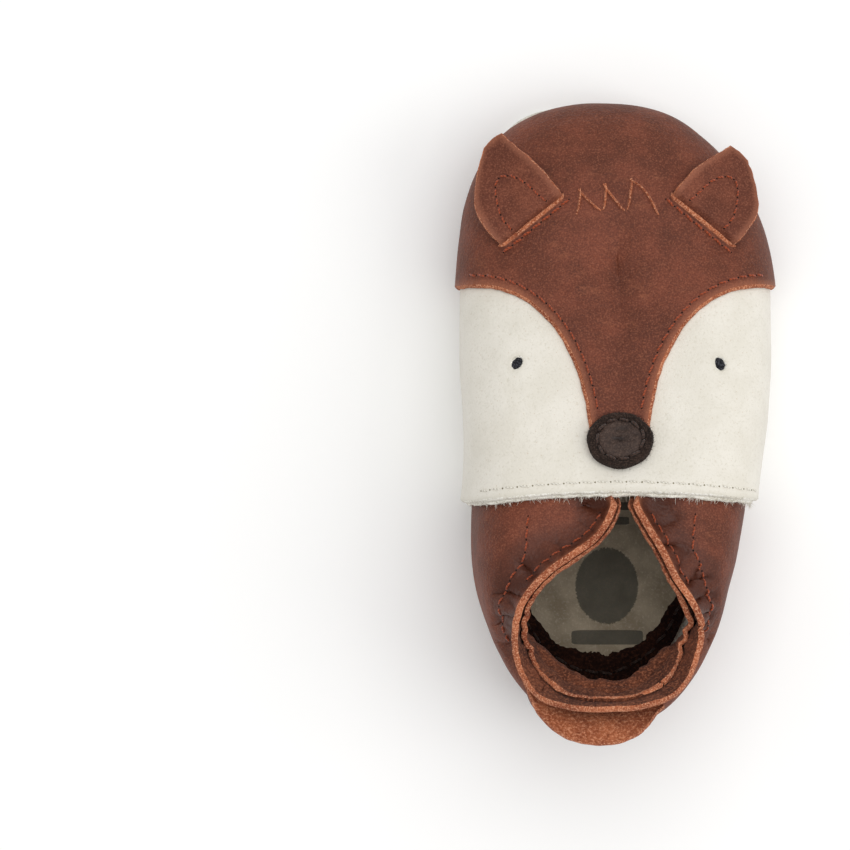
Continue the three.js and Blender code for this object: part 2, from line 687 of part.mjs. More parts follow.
// Heel tab: the free upper edge of the heel leather, which leans back from the collar.
const casingBack = Math.min(...casingLine.map((p) => p.y));
const TAB_LOW = casingLine.find((p) => p.y === casingBack).z + THREAD + 2 * GAP;
function wallAtX(x, z, d) {
  let low = -0.2;
  let high = 0.2;
  for (let i = 0; i < 40; i += 1) {
    const mid = (low + high) / 2;
    if (wallPoint(mid, z, d).x > x) high = mid; else low = mid;
  }
  return low;
}
add('heel_tab', sheet(14, 5, (a, b, k) => {
  const across = 2 * a - 1;
  const x = middle(LAST_HEEL) + TAB_SHIFT + (TAB_WIDTH / 2) * across;
  const round = Math.sqrt(1 - across ** 4);
  const z = TAB_LOW + (TAB_SIDE + (TAB_TALL - TAB_SIDE) * round) * b;
  const d = threadOn(QUARTER_LAYER) + THREAD + GAP;
  const u = wallAtX(x, TAB_LOW, d);
  const s = spoke(u, d);
  const away = point(s.ox - s.sx, s.oy - s.sy).normalize();
  const lean = TAB_FLARE * b ** 1.5 * round + k * LEATHER;
  const root = wallPoint(u, TAB_LOW, d);
  return new THREE.Vector3(root.x + away.x * lean, root.y + away.y * lean, z);
}), BROWN, 0.8);

// Stand the shoe on the origin, with the middle of its bounding box over it.
const bounds = new THREE.Box3().setFromObject(shoe, true);
const centre = bounds.getCenter(new THREE.Vector3());
shoe.position.set(-centre.x, -centre.y, -bounds.min.z);

export default shoe;
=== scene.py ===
"""Looks of a soft-soled leather baby bootie with a fox face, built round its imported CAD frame.

Lengths inside this script are millimetres in the pattern frame, which is the CAD frame before
it was centred on its bounding box. MeshMaker turns them into metres in the CAD frame.
"""

import logging
import math
from dataclasses import dataclass, field
from enum import Enum
from typing import Any, Callable, Sequence

import bpy
import numpy as np
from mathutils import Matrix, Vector


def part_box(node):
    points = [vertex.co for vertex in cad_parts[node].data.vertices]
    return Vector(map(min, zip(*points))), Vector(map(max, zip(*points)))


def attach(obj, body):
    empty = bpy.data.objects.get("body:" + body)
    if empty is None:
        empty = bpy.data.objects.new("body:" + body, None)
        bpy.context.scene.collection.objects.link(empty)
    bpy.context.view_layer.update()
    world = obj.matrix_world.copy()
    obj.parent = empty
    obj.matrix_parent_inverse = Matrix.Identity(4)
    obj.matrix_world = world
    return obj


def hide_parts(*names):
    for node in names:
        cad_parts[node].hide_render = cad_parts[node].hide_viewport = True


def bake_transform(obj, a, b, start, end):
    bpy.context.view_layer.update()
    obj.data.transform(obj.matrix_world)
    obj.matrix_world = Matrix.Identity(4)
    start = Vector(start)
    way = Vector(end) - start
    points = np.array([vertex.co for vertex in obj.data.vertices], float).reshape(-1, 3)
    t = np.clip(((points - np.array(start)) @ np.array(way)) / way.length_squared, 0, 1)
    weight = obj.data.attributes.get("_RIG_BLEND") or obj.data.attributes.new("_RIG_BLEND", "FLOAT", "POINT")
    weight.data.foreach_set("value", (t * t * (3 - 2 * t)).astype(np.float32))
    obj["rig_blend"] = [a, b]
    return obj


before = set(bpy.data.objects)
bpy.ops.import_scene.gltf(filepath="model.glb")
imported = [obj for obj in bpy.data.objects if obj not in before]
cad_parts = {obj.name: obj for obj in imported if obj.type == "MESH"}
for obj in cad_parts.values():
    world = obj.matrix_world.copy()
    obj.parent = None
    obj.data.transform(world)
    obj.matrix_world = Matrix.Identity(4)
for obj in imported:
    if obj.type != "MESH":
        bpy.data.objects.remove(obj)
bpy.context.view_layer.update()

LOG = logging.getLogger("bootie")
MM = 0.001
Array = np.ndarray
Place = Callable[[Array, Array, float], Array]


# ---------------------------------------------------------------- small maths


def smooth(v: Array) -> Array:
    """Ease from 0 to 1: three v squared less two v cubed, clamped."""
    t = np.clip(v, 0.0, 1.0)
    return t * t * (3 - 2 * t)


def unit(v: Array) -> Array:
    """Vectors scaled to length 1."""
    return v / np.maximum(np.linalg.norm(v, axis=-1, keepdims=True), 1e-12)


def bell(v: Array, centre: float, width: float) -> Array:
    """A Gaussian bump of height 1 about a centre."""
    return np.exp(-(((v - centre) / width) ** 2))


def bezier(points: Sequence[tuple[float, float]], t: Array) -> Array:
    """A cubic Bezier curve in the plane.

    Args:
        points: its four control points.
        t: places along it, 0 to 1.

    Returns:
        One row (x, y) for each place: the points weighted by the Bernstein polynomials.
    """
    a, b, c, d = (np.array(p, float) for p in points)
    t = t[:, None]
    return (1 - t) ** 3 * a + 3 * (1 - t) ** 2 * t * b + 3 * (1 - t) * t * t * c + t**3 * d


def noise(p: Array, size: float, seed: int = 0) -> Array:
    """Smooth value noise in space.

    Args:
        p: points, one row each, in millimetres.
        size: width of one lump.
        seed: which field.

    Returns:
        One number for each point, -1 to 1: hashed corner values of a cubic lattice, eased
        between the eight corners of the cell that a point is in.
    """
    q = p / size + 37.0 * seed
    base = np.floor(q).astype(np.int64)
    t = smooth(q - base)
    total = np.zeros(len(p))
    for corner in range(8):
        step = np.array([corner & 1, corner >> 1 & 1, corner >> 2 & 1])
        k = (base + step) @ np.array([73856093, 19349663, 83492791]) + seed * 2654435
        k = (k ^ (k >> 13)) * 1274126177 & 0x7FFFFFFF
        value = (k ^ (k >> 16)) % 65521 / 32760.0 - 1.0
        weight = np.where(step == 1, t, 1 - t).prod(axis=1)
        total += value * weight
    return total


def resample(line: Array, step: float) -> tuple[Array, Array]:
    """Even points along a line.

    Args:
        line: its points, one row each.
        step: about how far apart the new points are.

    Returns:
        The new points and their distances along the line, interpolated on arc length.
    """
    along = np.concatenate([[0], np.cumsum(np.linalg.norm(np.diff(line, axis=0), axis=1))])
    at = np.linspace(0, along[-1], max(2, int(round(along[-1] / step)) + 1))
    return np.stack([np.interp(at, along, line[:, k]) for k in range(line.shape[1])], 1), at


def spline(points: Sequence[tuple[float, float]], count: int) -> Array:
    """A smooth open line through points: a centripetal Catmull-Rom curve.

    Args:
        points: places the curve passes through.
        count: how many points to give.

    Returns:
        Points along the curve.
    """
    p = np.array(points, float)
    p = np.vstack([2 * p[0] - p[1], p, 2 * p[-1] - p[-2]])
    out = []
    per = max(2, count // (len(points) - 1))
    for i in range(1, len(p) - 2):
        a, b, c, d = p[i - 1 : i + 3]
        t0, t1 = 0.0, max(np.linalg.norm(b - a), 1e-9) ** 0.5
        t2 = t1 + max(np.linalg.norm(c - b), 1e-9) ** 0.5
        t3 = t2 + max(np.linalg.norm(d - c), 1e-9) ** 0.5
        t = np.linspace(t1, t2, per, endpoint=i == len(p) - 3)[:, None]
        ab = a + (b - a) * (t - t0) / (t1 - t0)
        bc = b + (c - b) * (t - t1) / (t2 - t1)
        cd = c + (d - c) * (t - t2) / (t3 - t2)
        abc = ab + (bc - ab) * (t - t0) / (t2 - t0)
        bcd = bc + (cd - bc) * (t - t1) / (t3 - t1)
        out.append(abc + (bcd - abc) * (t - t1) / (t2 - t1))
    return np.vstack(out)


def line_distance(p: Array, line: Array) -> Array:
    """Distance in the plane from each point to a polyline: the least over its segments.

    Args:
        p: places, with x and y first.
        line: corners of the polyline.

    Returns:
        One distance for each point.
    """
    best = np.full(len(p), np.inf)
    for a, b in zip(line[:-1], line[1:]):
        d = b - a
        t = np.clip(((p - a) @ d) / max(d @ d, 1e-12), 0, 1)
        best = np.minimum(best, np.linalg.norm(p - a - t[:, None] * d, axis=1))
    return best


def nearest(p: Array, line: Array) -> tuple[Array, Array, Array]:
    """Nearest places on a polyline.

    Args:
        p: points, one row each.
        line: the polyline's points, in as many dimensions.

    Returns:
        Distances, arc lengths of the nearest places and those places: the least over the
        segments of the distance to the point's projection, clamped to the segment.
    """
    best, arc, spot = np.full(len(p), np.inf), np.zeros(len(p)), np.zeros_like(p)
    run = 0.0
    for a, b in zip(line[:-1], line[1:]):
        d = b - a
        size = float(np.linalg.norm(d))
        t = np.clip(((p - a) @ d) / max(size * size, 1e-12), 0, 1)
        q = a + t[:, None] * d
        far = np.linalg.norm(p - q, axis=1)
        closer = far < best
        best = np.where(closer, far, best)
        arc = np.where(closer, run + t * size, arc)
        spot = np.where(closer[:, None], q, spot)
        run += size
    return best, arc, spot


def within(p: Array, ring: Array) -> Array:
    """Whether points lie inside a closed outline, by counting crossings to one side.

    Args:
        p: places, with x and y first.
        ring: corners of the outline.

    Returns:
        True for the points inside.
    """
    inside = np.zeros(len(p), bool)
    for a, b in zip(ring, np.roll(ring, -1, axis=0)):
        spans = (a[1] > p[:, 1]) != (b[1] > p[:, 1])
        rise = b[1] - a[1] if b[1] != a[1] else 1e-12
        inside ^= spans & (p[:, 0] < a[0] + (p[:, 1] - a[1]) / rise * (b[0] - a[0]))
    return inside


def level(u: Array, v: Array, surface: Callable[[Array, Array], Array]) -> Array:
    """Unit normals of a surface over the last.

    Args:
        u: turns round the plan.
        v: heights from the sole line to the ridge.
        surface: gives points from u and v.

    Returns:
        The cross products of short steps along u and v. On the ridge the two sides share
        the mean of theirs.
    """
    e = 3e-4
    mid = np.clip(v, 2 * e, 1 - 2 * e)

    def one(a: Array) -> Array:
        """Normal at the turns a.

        Args:
            a: turns round the last.

        Returns:
            One row for each turn.
        """
        du = surface(a + e, mid) - surface(a - e, mid)
        dv = surface(a, mid + e) - surface(a, mid - e)
        return unit(np.cross(du, dv))

    ridge = (v > 1 - 1e-6)[:, None]
    return np.where(ridge, unit(one(u) + one(1 - u)), one(u)) if ridge.any() else one(u)


# ---------------------------------------------------------------- the foot form


@dataclass(frozen=True)
class Last:
    """Foot form that every leather follows; its sizes are those of the CAD model.

    A point of the last grown by d is given by u, its turn round the plan from the heel (0)
    over the outer side to the toe (0.5) and back over the inner side, and by v, from the
    sole line (0) over the belly up to the ridge (1).
    """

    shift: tuple[float, float]
    toe: float = 59.0
    heel: float = -57.4
    half: float = 26.1
    toe_start: float = 22.0
    heel_start: float = -12.0
    toe_round: float = 2.4
    heel_round: float = 2.2
    toe_spine: float = 33.0
    heel_spine: float = -43.4
    toe_swing: float = 2.8
    heel_swing: float = 3.0
    waist: float = 1.8
    belly: float = 11.0
    tuck: float = 6.0
    toe_ridge: float = 22.7
    instep_ridge: float = 38.0
    instep_y: float = -13.1
    crown_toe: float = 2.3
    crown_heel: float = 6.0
    belly_v: float = 0.2

    def middle(self, y: Array) -> Array:
        """Middle line: it swings inwards by a square law at the toe and an ease at the heel."""
        toe = np.clip((y - self.toe_start) / (self.toe - self.toe_start), 0, 1)
        return -self.toe_swing * toe**2 - self.heel_swing * smooth((5 - y) / 40)

    def half_width(self, y: Array, d: float) -> Array:
        """Half width in plan: straight sides with a waist, and superellipse ends.

        Args:
            y: places along the shoe.
            d: distance grown out from the last.

        Returns:
            One half width for each place.
        """
        side = self.half + d - self.waist * smooth((15 - y) / 32)
        t = np.clip((y - self.toe_start) / (self.toe + d - self.toe_start), 0, 1)
        h = np.clip((self.heel_start - y) / (self.heel_start - self.heel + d), 0, 1)
        toe = (1 - t**self.toe_round) ** (1 / self.toe_round)
        heel = (1 - h**self.heel_round) ** (1 / self.heel_round)
        return side * toe * heel

    def ridge(self, y: Array, d: float) -> Array:
        """Height of the ridge: a straight fall to the toe box, plus d."""
        slope = (self.instep_ridge - self.toe_ridge) / (self.toe_spine - self.instep_y)
        return self.toe_ridge + slope * (self.toe_spine - y) + d

    def crown(self, y: Array) -> Array:
        """Exponent of the cross section, squarer towards the heel."""
        return self.crown_heel + (self.crown_toe - self.crown_heel) * np.clip((y + 40) / 60, 0, 1)

    def spoke(self, u: Array, d: float) -> tuple[Array, Array, Array, Array]:
        """Spine point of a turn, and the way from it out to the widest point in plan.

        Args:
            u: turns round the last.
            d: distance grown out from the last.

        Returns:
            Spine x and y, then the way out in x and in y.
        """
        turn = np.mod(u, 1.0)
        side = np.where(turn <= 0.5, 1.0, -1.0)
        along = np.where(turn <= 0.5, 2 * turn, 2 - 2 * turn)
        share = (1 - np.cos(np.pi * along)) / 2
        oy = self.heel - d + (self.toe - self.heel + 2 * d) * share
        sy = self.heel_spine + (self.toe_spine - self.heel_spine) * share
        sx = self.middle(sy)
        return sx, sy, self.middle(oy) + side * self.half_width(oy, d) - sx, oy - sy

    def surface(self, u: Array, v: Array, d: float) -> Array:
        """Points of the last grown by d.

        Args:
            u: turns round the plan.
            v: heights from the sole line to the ridge.
            d: growth in millimetres.

        Returns:
            One row (x, y, z) each. Under the belly a spoke's section is a quarter ellipse,
            above it a superellipse taken at even polar angles.
        """
        sx, sy, wx, wy = self.spoke(u, d)
        reach = np.hypot(wx, wy)
        low = np.clip(1 - v / self.belly_v, 0, 1) * math.pi / 2
        angle = np.clip((v - self.belly_v) / (1 - self.belly_v), 0, 1) * math.pi / 2
        n = self.crown(sy)
        size = (np.cos(angle) ** n + np.sin(angle) ** n) ** (-1 / n)
        out = size * np.cos(angle) - self.tuck / reach * (1 - np.cos(low))
        rise = (self.ridge(sy, d) - self.belly) * size * np.sin(angle)
        z = self.belly * (1 - np.sin(low)) + rise
        out = np.where(v >= 1 - 1e-9, 0.0, out)
        return np.stack([sx + out * wx, sy + out * wy, z], 1)

    def normal(self, u: Array, v: Array, d: float) -> Array:
        """Outward unit normals: the cross product of the steps along u and v."""
        return level(u, v, lambda a, b: self.surface(a, b, d))

    def v_at(self, u: Array, z: Array, d: float) -> Array:
        """The v at which the grown last reaches a height, by bisection.

        Args:
            u: turns round the last.
            z: heights to reach.
            d: distance grown out from the last.

        Returns:
            One way up for each turn.
        """
        low, high = np.zeros_like(z), np.ones_like(z)
        for _ in range(30):
            mid = (low + high) / 2
            under = self.surface(u, mid, d)[:, 2] < z
            low, high = np.where(under, mid, low), np.where(under, high, mid)
        return low

    def under(self, x: Array, y: Array, d: float) -> tuple[Array, Array]:
        """The turn and height of the upper surface straight above plan points.

        Args:
            x: across.
            y: along.
            d: growth.

        Returns:
            u and v. u comes from bisection on which side of a spoke the point lies, v from
            the share of the spoke at which it lies.
        """
        side = np.where(x >= self.middle(y), 1.0, -1.0)
        low, high = np.zeros_like(x), np.full_like(x, 0.5)
        for _ in range(40):
            mid = (low + high) / 2
            sx, sy, wx, wy = self.spoke(side * mid, d)
            past = side * ((x - sx) * wy - (y - sy) * wx) > 0
            high, low = np.where(past, mid, high), np.where(past, low, mid)
        sx, sy, wx, wy = self.spoke(side * low, d)
        r = np.clip(np.hypot(x - sx, y - sy) / np.hypot(wx, wy), 0, 0.999)
        n = self.crown(sy)
        angle = np.arctan2((1 - r**n) ** (1 / n), r)
        return side * low, self.belly_v + (1 - self.belly_v) * angle / (math.pi / 2)

    def over(self, x: Array, y: Array, d: float) -> tuple[Array, Array]:
        """Points and normals of the grown last straight above plan points."""
        u, v = self.under(x, y, d)
        return self.surface(u, v, d), self.normal(u, v, d)


FACE_X = -0.229
TOE_END = 65.8


def pattern_shift() -> tuple[float, float]:
    """How far the CAD frame is moved from the pattern frame, read off the nose and the toe."""
    low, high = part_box("nose_patch")
    return ((low.x + high.x) / 2 / MM - FACE_X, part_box("head_leather")[1].y / MM - TOE_END)


LAST = Last(pattern_shift())


# ---------------------------------------------------------------- leather layers and cuts


class Layer(Enum):
    """Distance of a leather's inner and outer face from the last."""

    FACING = (0.6, 1.6)
    QUARTER = (2.0, 3.1)
    LINING = (3.5, 4.4)
    CHEEK = (4.5, 5.5)
    HEAD = (5.55, 6.65)
    PATCH = (6.7, 8.1)

    @property
    def inner(self) -> float:
        """Flesh face."""
        return self.value[0]

    @property
    def outer(self) -> float:
        """Grain face."""
        return self.value[1]


@dataclass(frozen=True)
class Pattern:
    """Cut lines of the leathers in plan, in the pattern frame. Inside is positive."""

    face_x: float = FACE_X
    hem_y: float = -13.1
    hem_sweep: float = 2.3
    half_width: float = 31.6
    brow_y: float = 28.4
    bridge_half: float = 5.5
    nose_ahead: float = 9.8
    tuft_width: float = 17.0
    tuft_foot: float = 42.1
    tuft_height: float = 6.3
    eye_spread: float = 41.0
    eye_y: float = 12.3
    ear_x: float = 17.5
    ear_y: float = 41.4
    ear_yaw: float = 0.69
    ear_base: float = 16.2

    def casing(self, y: Array) -> Array:
        """Drop of the casing seam below the collar edge: little at the hem, more at the heel."""
        return 0.75 + 8.25 * smooth((-22 - y) / 26)

    def hem(self, x: Array) -> Array:
        """The hem's y at x: a parabola that sweeps back at the sides."""
        return self.hem_y - self.hem_sweep * (x / self.half_width) ** 2

    @property
    def nose(self) -> tuple[float, float]:
        """Centre of the nose patch."""
        return (self.face_x, self.hem_y + self.nose_ahead)

    def face_edge(self, side: float, count: int = 60) -> Array:
        """Lower edge of the head leather on one side: a cubic from the cheek to the nose.

        Args:
            side: -1 for the left, 1 for the right.
            count: how many points to give.

        Returns:
            Places along the edge.
        """
        nose_y = self.nose[1] + 2.3
        points = [
            (self.face_x + side * 29.1, self.brow_y),
            (self.face_x + side * 15.1, self.brow_y),
            (self.face_x + side * (self.bridge_half + 1.5), nose_y + 16),
            (self.face_x + side * self.bridge_half, nose_y),
        ]
        return bezier(points, np.linspace(0, 1, count))

    def head(self, p: Array) -> Array:
        """Signed distance inside the head leather, from its lower edge.

        Args:
            p: places, with x and y first.

        Returns:
            Above zero inside the leather.
        """
        edges = []
        for side in (-1, 1):
            line = self.face_edge(side)
            far = np.array([[self.face_x + side * 60, self.brow_y]])
            foot = np.array([[self.face_x + side * self.bridge_half, self.nose[1] - 2.0]])
            line = np.vstack([far, line, foot])
            edges.append(line_distance(p, line))
        dist = np.minimum(*edges)
        width = self.bridge_width(p[:, 1])
        inside = (np.abs(p[:, 0] - self.face_x) < width) & (p[:, 1] > self.nose[1] - 2)
        return np.where(inside, dist, -dist)

    def bridge_width(self, y: Array) -> Array:
        """Half width of the head leather at y, from the face edge.

        Args:
            y: places along the shoe.

        Returns:
            One half width for each place.
        """
        line = self.face_edge(1)[::-1]
        wide = np.interp(y, line[:, 1], line[:, 0] - self.face_x)
        return np.where(y >= self.brow_y, 99.0, wide)

    def tuft(self) -> Array:
        """The knife-cut hair: three spikes and a curved last lock.

        Returns:
            Corners of the cut.
        """
        left, step = self.face_x - self.tuft_width / 2, self.tuft_width / 6
        low, high = self.tuft_foot + 1, self.tuft_foot + self.tuft_height
        spikes = [
            (left, self.tuft_foot),
            (left + step * 0.3, high - 1),
            (left + step * 1.9, low),
            (left + step * 2.1, high),
            (left + step * 3.6, low),
            (left + step * 3.9, high + 1),
        ]
        lock = bezier(
            [
                spikes[-1],
                (left + step * 4.7, high + 0.4),
                (left + step * 5.5, high - 2),
                (left + step * 6, self.tuft_foot),
            ],
            np.linspace(0, 1, 10),
        )
        return np.vstack([spikes, lock[1:]])

    def slit(self, side: float) -> tuple[Array, Array]:
        """Middle of an ear slit, and the way along it."""
        run = np.array([math.cos(self.ear_yaw), -side * math.sin(self.ear_yaw)])
        return np.array([self.face_x + side * self.ear_x, self.ear_y]), run

    def collar(self, count: int = 320) -> Array:
        """Edge of the foot opening, from the inner end of the hem round the heel.

        Args:
            count: how many points to give.

        Returns:
            Places along the edge.
        """
        k, back = self.hem_y, LAST.heel
        turns = [
            (-1.1, k + 10), (-1.1, k), (-1.8, k - 4.0), (-4.6, k - 8.6), (-9.0, k - 12.0), (-14.4, k - 15.8),
            (-18.4, k - 20.0), (-20.6, k - 24.4), (-21.3, k - 28.6), (-20.2, back + 12.0),
            (-16.6, back + 7.6), (-10.2, back + 5.4), (-2.9, back + 4.9), (3.7, back + 5.6),
            (9.0, back + 7.2), (13.3, back + 10.4),
            (15.6, back + 14.2), (16.2, back + 17.6), (14.2, k - 22.0), (10.6, k - 17.0), (7.8, k - 11.4),
            (4.8, k - 6.4), (2.8, k - 2.6), (2.3, k), (2.3, k + 10),
        ]
        return spline(turns, count)


PATTERN = Pattern()


# ---------------------------------------------------------------- meshes


class Face(Enum):
    """Which finish a face of a leather takes: its material slot on the piece."""

    GRAIN = 0
    FLESH = 1
    CUT = 2


@dataclass
class Shape:
    """A mesh in the making: points in the pattern frame, faces by finish, point values."""

    points: Array
    faces: list[tuple[Array, int]]
    values: dict[str, Array] = field(default_factory=dict)


def trimmed(us: Array, vs: Array, inside: Array) -> tuple[Array, list[Array]]:
    """Cuts a grid along the zero line of a function.

    Args:
        us: grid lines along u.
        vs: grid lines along v.
        inside: the function's value at each grid point, positive where leather is kept.

    Returns:
        The kept (u, v) points and the faces over them. Each cell keeps its inside corners
        and the points where the function crosses zero on its sides.
    """
    keep = inside > 0
    u, v = np.meshgrid(us, vs, indexing="ij")
    corner = np.where(keep, np.cumsum(keep.ravel()).reshape(keep.shape) - 1, -1)
    points = [np.stack([u[keep], v[keep]], 1)]
    count = int(keep.sum())
    sides = []
    for axis in (0, 1):
        a = (slice(0, -1), slice(None)) if axis == 0 else (slice(None), slice(0, -1))
        b = (slice(1, None), slice(None)) if axis == 0 else (slice(None), slice(1, None))
        cut = keep[a] != keep[b]
        t = inside[a][cut] / (inside[a][cut] - inside[b][cut])
        t = np.clip(t, 0.02, 0.98)
        points.append(
            np.stack([u[a][cut] + t * (u[b][cut] - u[a][cut]), v[a][cut] + t * (v[b][cut] - v[a][cut])], 1)
        )
        index = np.full(cut.shape, -1)
        index[cut] = count + np.arange(int(cut.sum()))
        count += int(cut.sum())
        sides.append(index)
    along, up = sides
    corners = [corner[:-1, :-1], corner[1:, :-1], corner[1:, 1:], corner[:-1, 1:]]
    edges = [along[:, :-1], up[1:, :], along[:, 1:], up[:-1, :]]
    kept = [keep[:-1, :-1], keep[1:, :-1], keep[1:, 1:], keep[:-1, 1:]]
    case = sum(k.astype(int) << i for i, k in enumerate(kept))
    faces = []
    for number in range(1, 16):
        cells = case == number
        if not cells.any():
            continue
        ring = []
        for k in range(4):
            if number >> k & 1:
                ring.append(corners[k][cells])
            if (number >> k & 1) != (number >> (k + 1) % 4 & 1):
                ring.append(edges[k][cells])
        faces.append(np.stack(ring, 1))
    return np.vstack(points), faces


def cleaned(faces: Sequence[Array]) -> list[Array]:
    """Faces without repeated corners: a quad that has lost one becomes a triangle.

    Args:
        faces: corner numbers, one row for each face.

    Returns:
        Quads and triangles, each in their own array.
    """
    kept = []
    for group in faces:
        doubled = group == np.roll(group, -1, 1)
        lost = doubled.sum(1)
        sides = group.shape[1]
        for missing in range(sides - 2):
            some = group[lost == missing]
            if len(some):
                kept.append(some[~doubled[lost == missing]].reshape(-1, sides - missing))
    return kept


def open_edges(faces: Sequence[Array], count: int) -> Array:
    """Directed edges that only one face uses.

    Args:
        faces: corner numbers, one row for each face.
        count: how many points there are.

    Returns:
        Two corner numbers for each edge.
    """
    pairs = np.vstack([np.stack([f, np.roll(f, -1, 1)], 2).reshape(-1, 2) for f in faces])
    pairs = pairs[pairs[:, 0] != pairs[:, 1]]
    there = pairs[:, 0].astype(np.int64) * count + pairs[:, 1]
    back = pairs[:, 1].astype(np.int64) * count + pairs[:, 0]
    return pairs[~np.isin(back, there)]


def thick(
    uv: Array,
    faces: Sequence[Array],
    place: Place,
    splay: float = 0.0,
    fuzz: float = 0.1,
    seed: int = 1,
    values: dict[str, Callable[[Array], Array]] | None = None,
) -> Shape:
    """Gives a trimmed leather its thickness and its cut edge.

    Args:
        uv: the kept (u, v) points.
        faces: faces over them, grain side out.
        place: gives points from u, v and the share of the thickness, 1 on the grain face.
        splay: how far the flesh face stands out past the grain face at a cut.
        fuzz: roughness of the cut in millimetres.
        seed: which roughness.
        values: functions of uv to be kept on the mesh.

    Returns:
        Two faces joined by a rim of three strips. A rim point is the mix of the two faces'
        edge points, pushed out by a sine bulge and by noise.
    """
    outer = place(uv[:, 0], uv[:, 1], 1.0)
    _, first, back = np.unique(np.round(outer, 3), axis=0, return_index=True, return_inverse=True)
    back = back.reshape(-1)
    uv, outer = uv[first], outer[first]
    faces = cleaned([back[f] for f in faces])
    inner = place(uv[:, 0], uv[:, 1], 0.0)
    n = len(uv)
    rim = open_edges(faces, n)
    out = np.zeros_like(outer)
    step = outer[rim[:, 1]] - outer[rim[:, 0]]
    away = unit(np.cross(step, (outer - inner)[rim[:, 0]]))
    np.add.at(out, rim[:, 0], away)
    np.add.at(out, rim[:, 1], away)
    out = unit(out)
    edge = np.unique(rim)
    where = np.full(n, -1)
    where[edge] = np.arange(len(edge))
    ragged = noise(outer[edge], 1.6, seed + 9)[:, None] * fuzz
    outer[edge] += out[edge] * ragged
    inner[edge] += out[edge] * (splay + 1.5 * ragged)
    deep = np.linalg.norm(outer[edge] - inner[edge], axis=1)[:, None]
    rows = []
    for k, share in enumerate((1 / 3, 2 / 3)):
        middle = outer[edge] * (1 - share) + inner[edge] * share
        rough = noise(middle, 0.5, seed + k)[:, None] * fuzz
        rows.append(middle + out[edge] * (0.2 * deep * math.sin(math.pi * share) + rough))
    a, b, m = rim[:, 0], rim[:, 1], len(edge)
    first_row, second_row = 2 * n + where, 2 * n + m + where
    strips = [
        np.stack([b, a, first_row[a], first_row[b]], 1),
        np.stack([first_row[b], first_row[a], second_row[a], second_row[b]], 1),
        np.stack([second_row[b], second_row[a], n + a, n + b], 1),
    ]
    made = [(f, Face.GRAIN.value) for f in faces]
    made += [(f[:, ::-1] + n, Face.FLESH.value) for f in faces]
    made += [(s, Face.CUT.value) for s in strips]
    kept = {}
    for key, function in (values or {}).items():
        value = function(uv)
        kept[key] = np.concatenate([value, value, value[edge], value[edge]])
    return Shape(np.vstack([outer, inner, *rows]), made, kept)


def grid_faces(rows: int, columns: int, wrap: bool = False, start: int = 0) -> Array:
    """Quads over a grid of rows by columns points, closed round the columns if wrapped.

    Args:
        rows: rows of points.
        columns: points in each row.
        wrap: whether each row closes into a ring.
        start: number of the first point.

    Returns:
        Four corner numbers for each quad.
    """
    i, j = np.meshgrid(np.arange(rows - 1), np.arange(columns if wrap else columns - 1), indexing="ij")
    k = (j + 1) % columns
    quads = np.stack([i * columns + j, i * columns + k, (i + 1) * columns + k, (i + 1) * columns + j], 2)
    return quads.reshape(-1, 4) + start


class MeshMaker:
    """Puts shapes into the scene as finished pieces."""

    def __init__(self, shift: tuple[float, float]) -> None:
        """Keeps the move from the pattern frame to the CAD frame."""
        self.offset = np.array([shift[0], shift[1], 0.0])

    def piece(
        self, name: str, shape: Shape, finishes: Sequence[bpy.types.Material], sharp: float = 55.0
    ) -> Any:
        """Makes an object from a shape.

        Args:
            name: the piece's name.
            shape: points in the pattern frame and faces by finish.
            finishes: the materials, in the order of the faces' numbers.
            sharp: angle in degrees past which an edge is drawn sharp.

        Returns:
            The object, at the origin, with its place in its mesh, in metres.
        """
        mesh = bpy.data.meshes.new(name)
        polygons = [f.tolist() for f, _ in shape.faces]
        flat = [face for group in polygons for face in group]
        mesh.from_pydata(((shape.points + self.offset) * MM).tolist(), [], flat)
        slots = np.concatenate([np.full(len(f), s) for f, s in shape.faces])
        for material in finishes:
            mesh.materials.append(material)
        mesh.polygons.foreach_set("material_index", slots.astype(np.int32))
        mesh.polygons.foreach_set("use_smooth", np.ones(len(flat), bool))
        for key, values in shape.values.items():
            attribute = mesh.attributes.new(key, "FLOAT", "POINT")
            attribute.data.foreach_set("value", values.astype(np.float32))
        mesh.validate()
        mesh.update()
        mesh.set_sharp_from_angle(angle=math.radians(sharp))
        item = bpy.data.objects.new(name, mesh)
        bpy.context.scene.collection.objects.link(item)
        return item


MAKER = MeshMaker(LAST.shift)


def settle(item: Any, body: str, slot: str, *nodes: str) -> Any:
    """Lets a piece ride on a body and stand for CAD nodes.

    Args:
        item: the piece.
        body: name of the body that it rides on.
        slot: name of its finish slot; not used.
        nodes: CAD nodes that it stands for.

    Returns:
        The same piece.
    """
    if nodes:
        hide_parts(*nodes)
    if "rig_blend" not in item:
        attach(item, body)
    LOG.info("%s: %d faces on %s, for %s", item.name, len(item.data.polygons), body, nodes or "itself")
    return item


# ---------------------------------------------------------------- shader maths


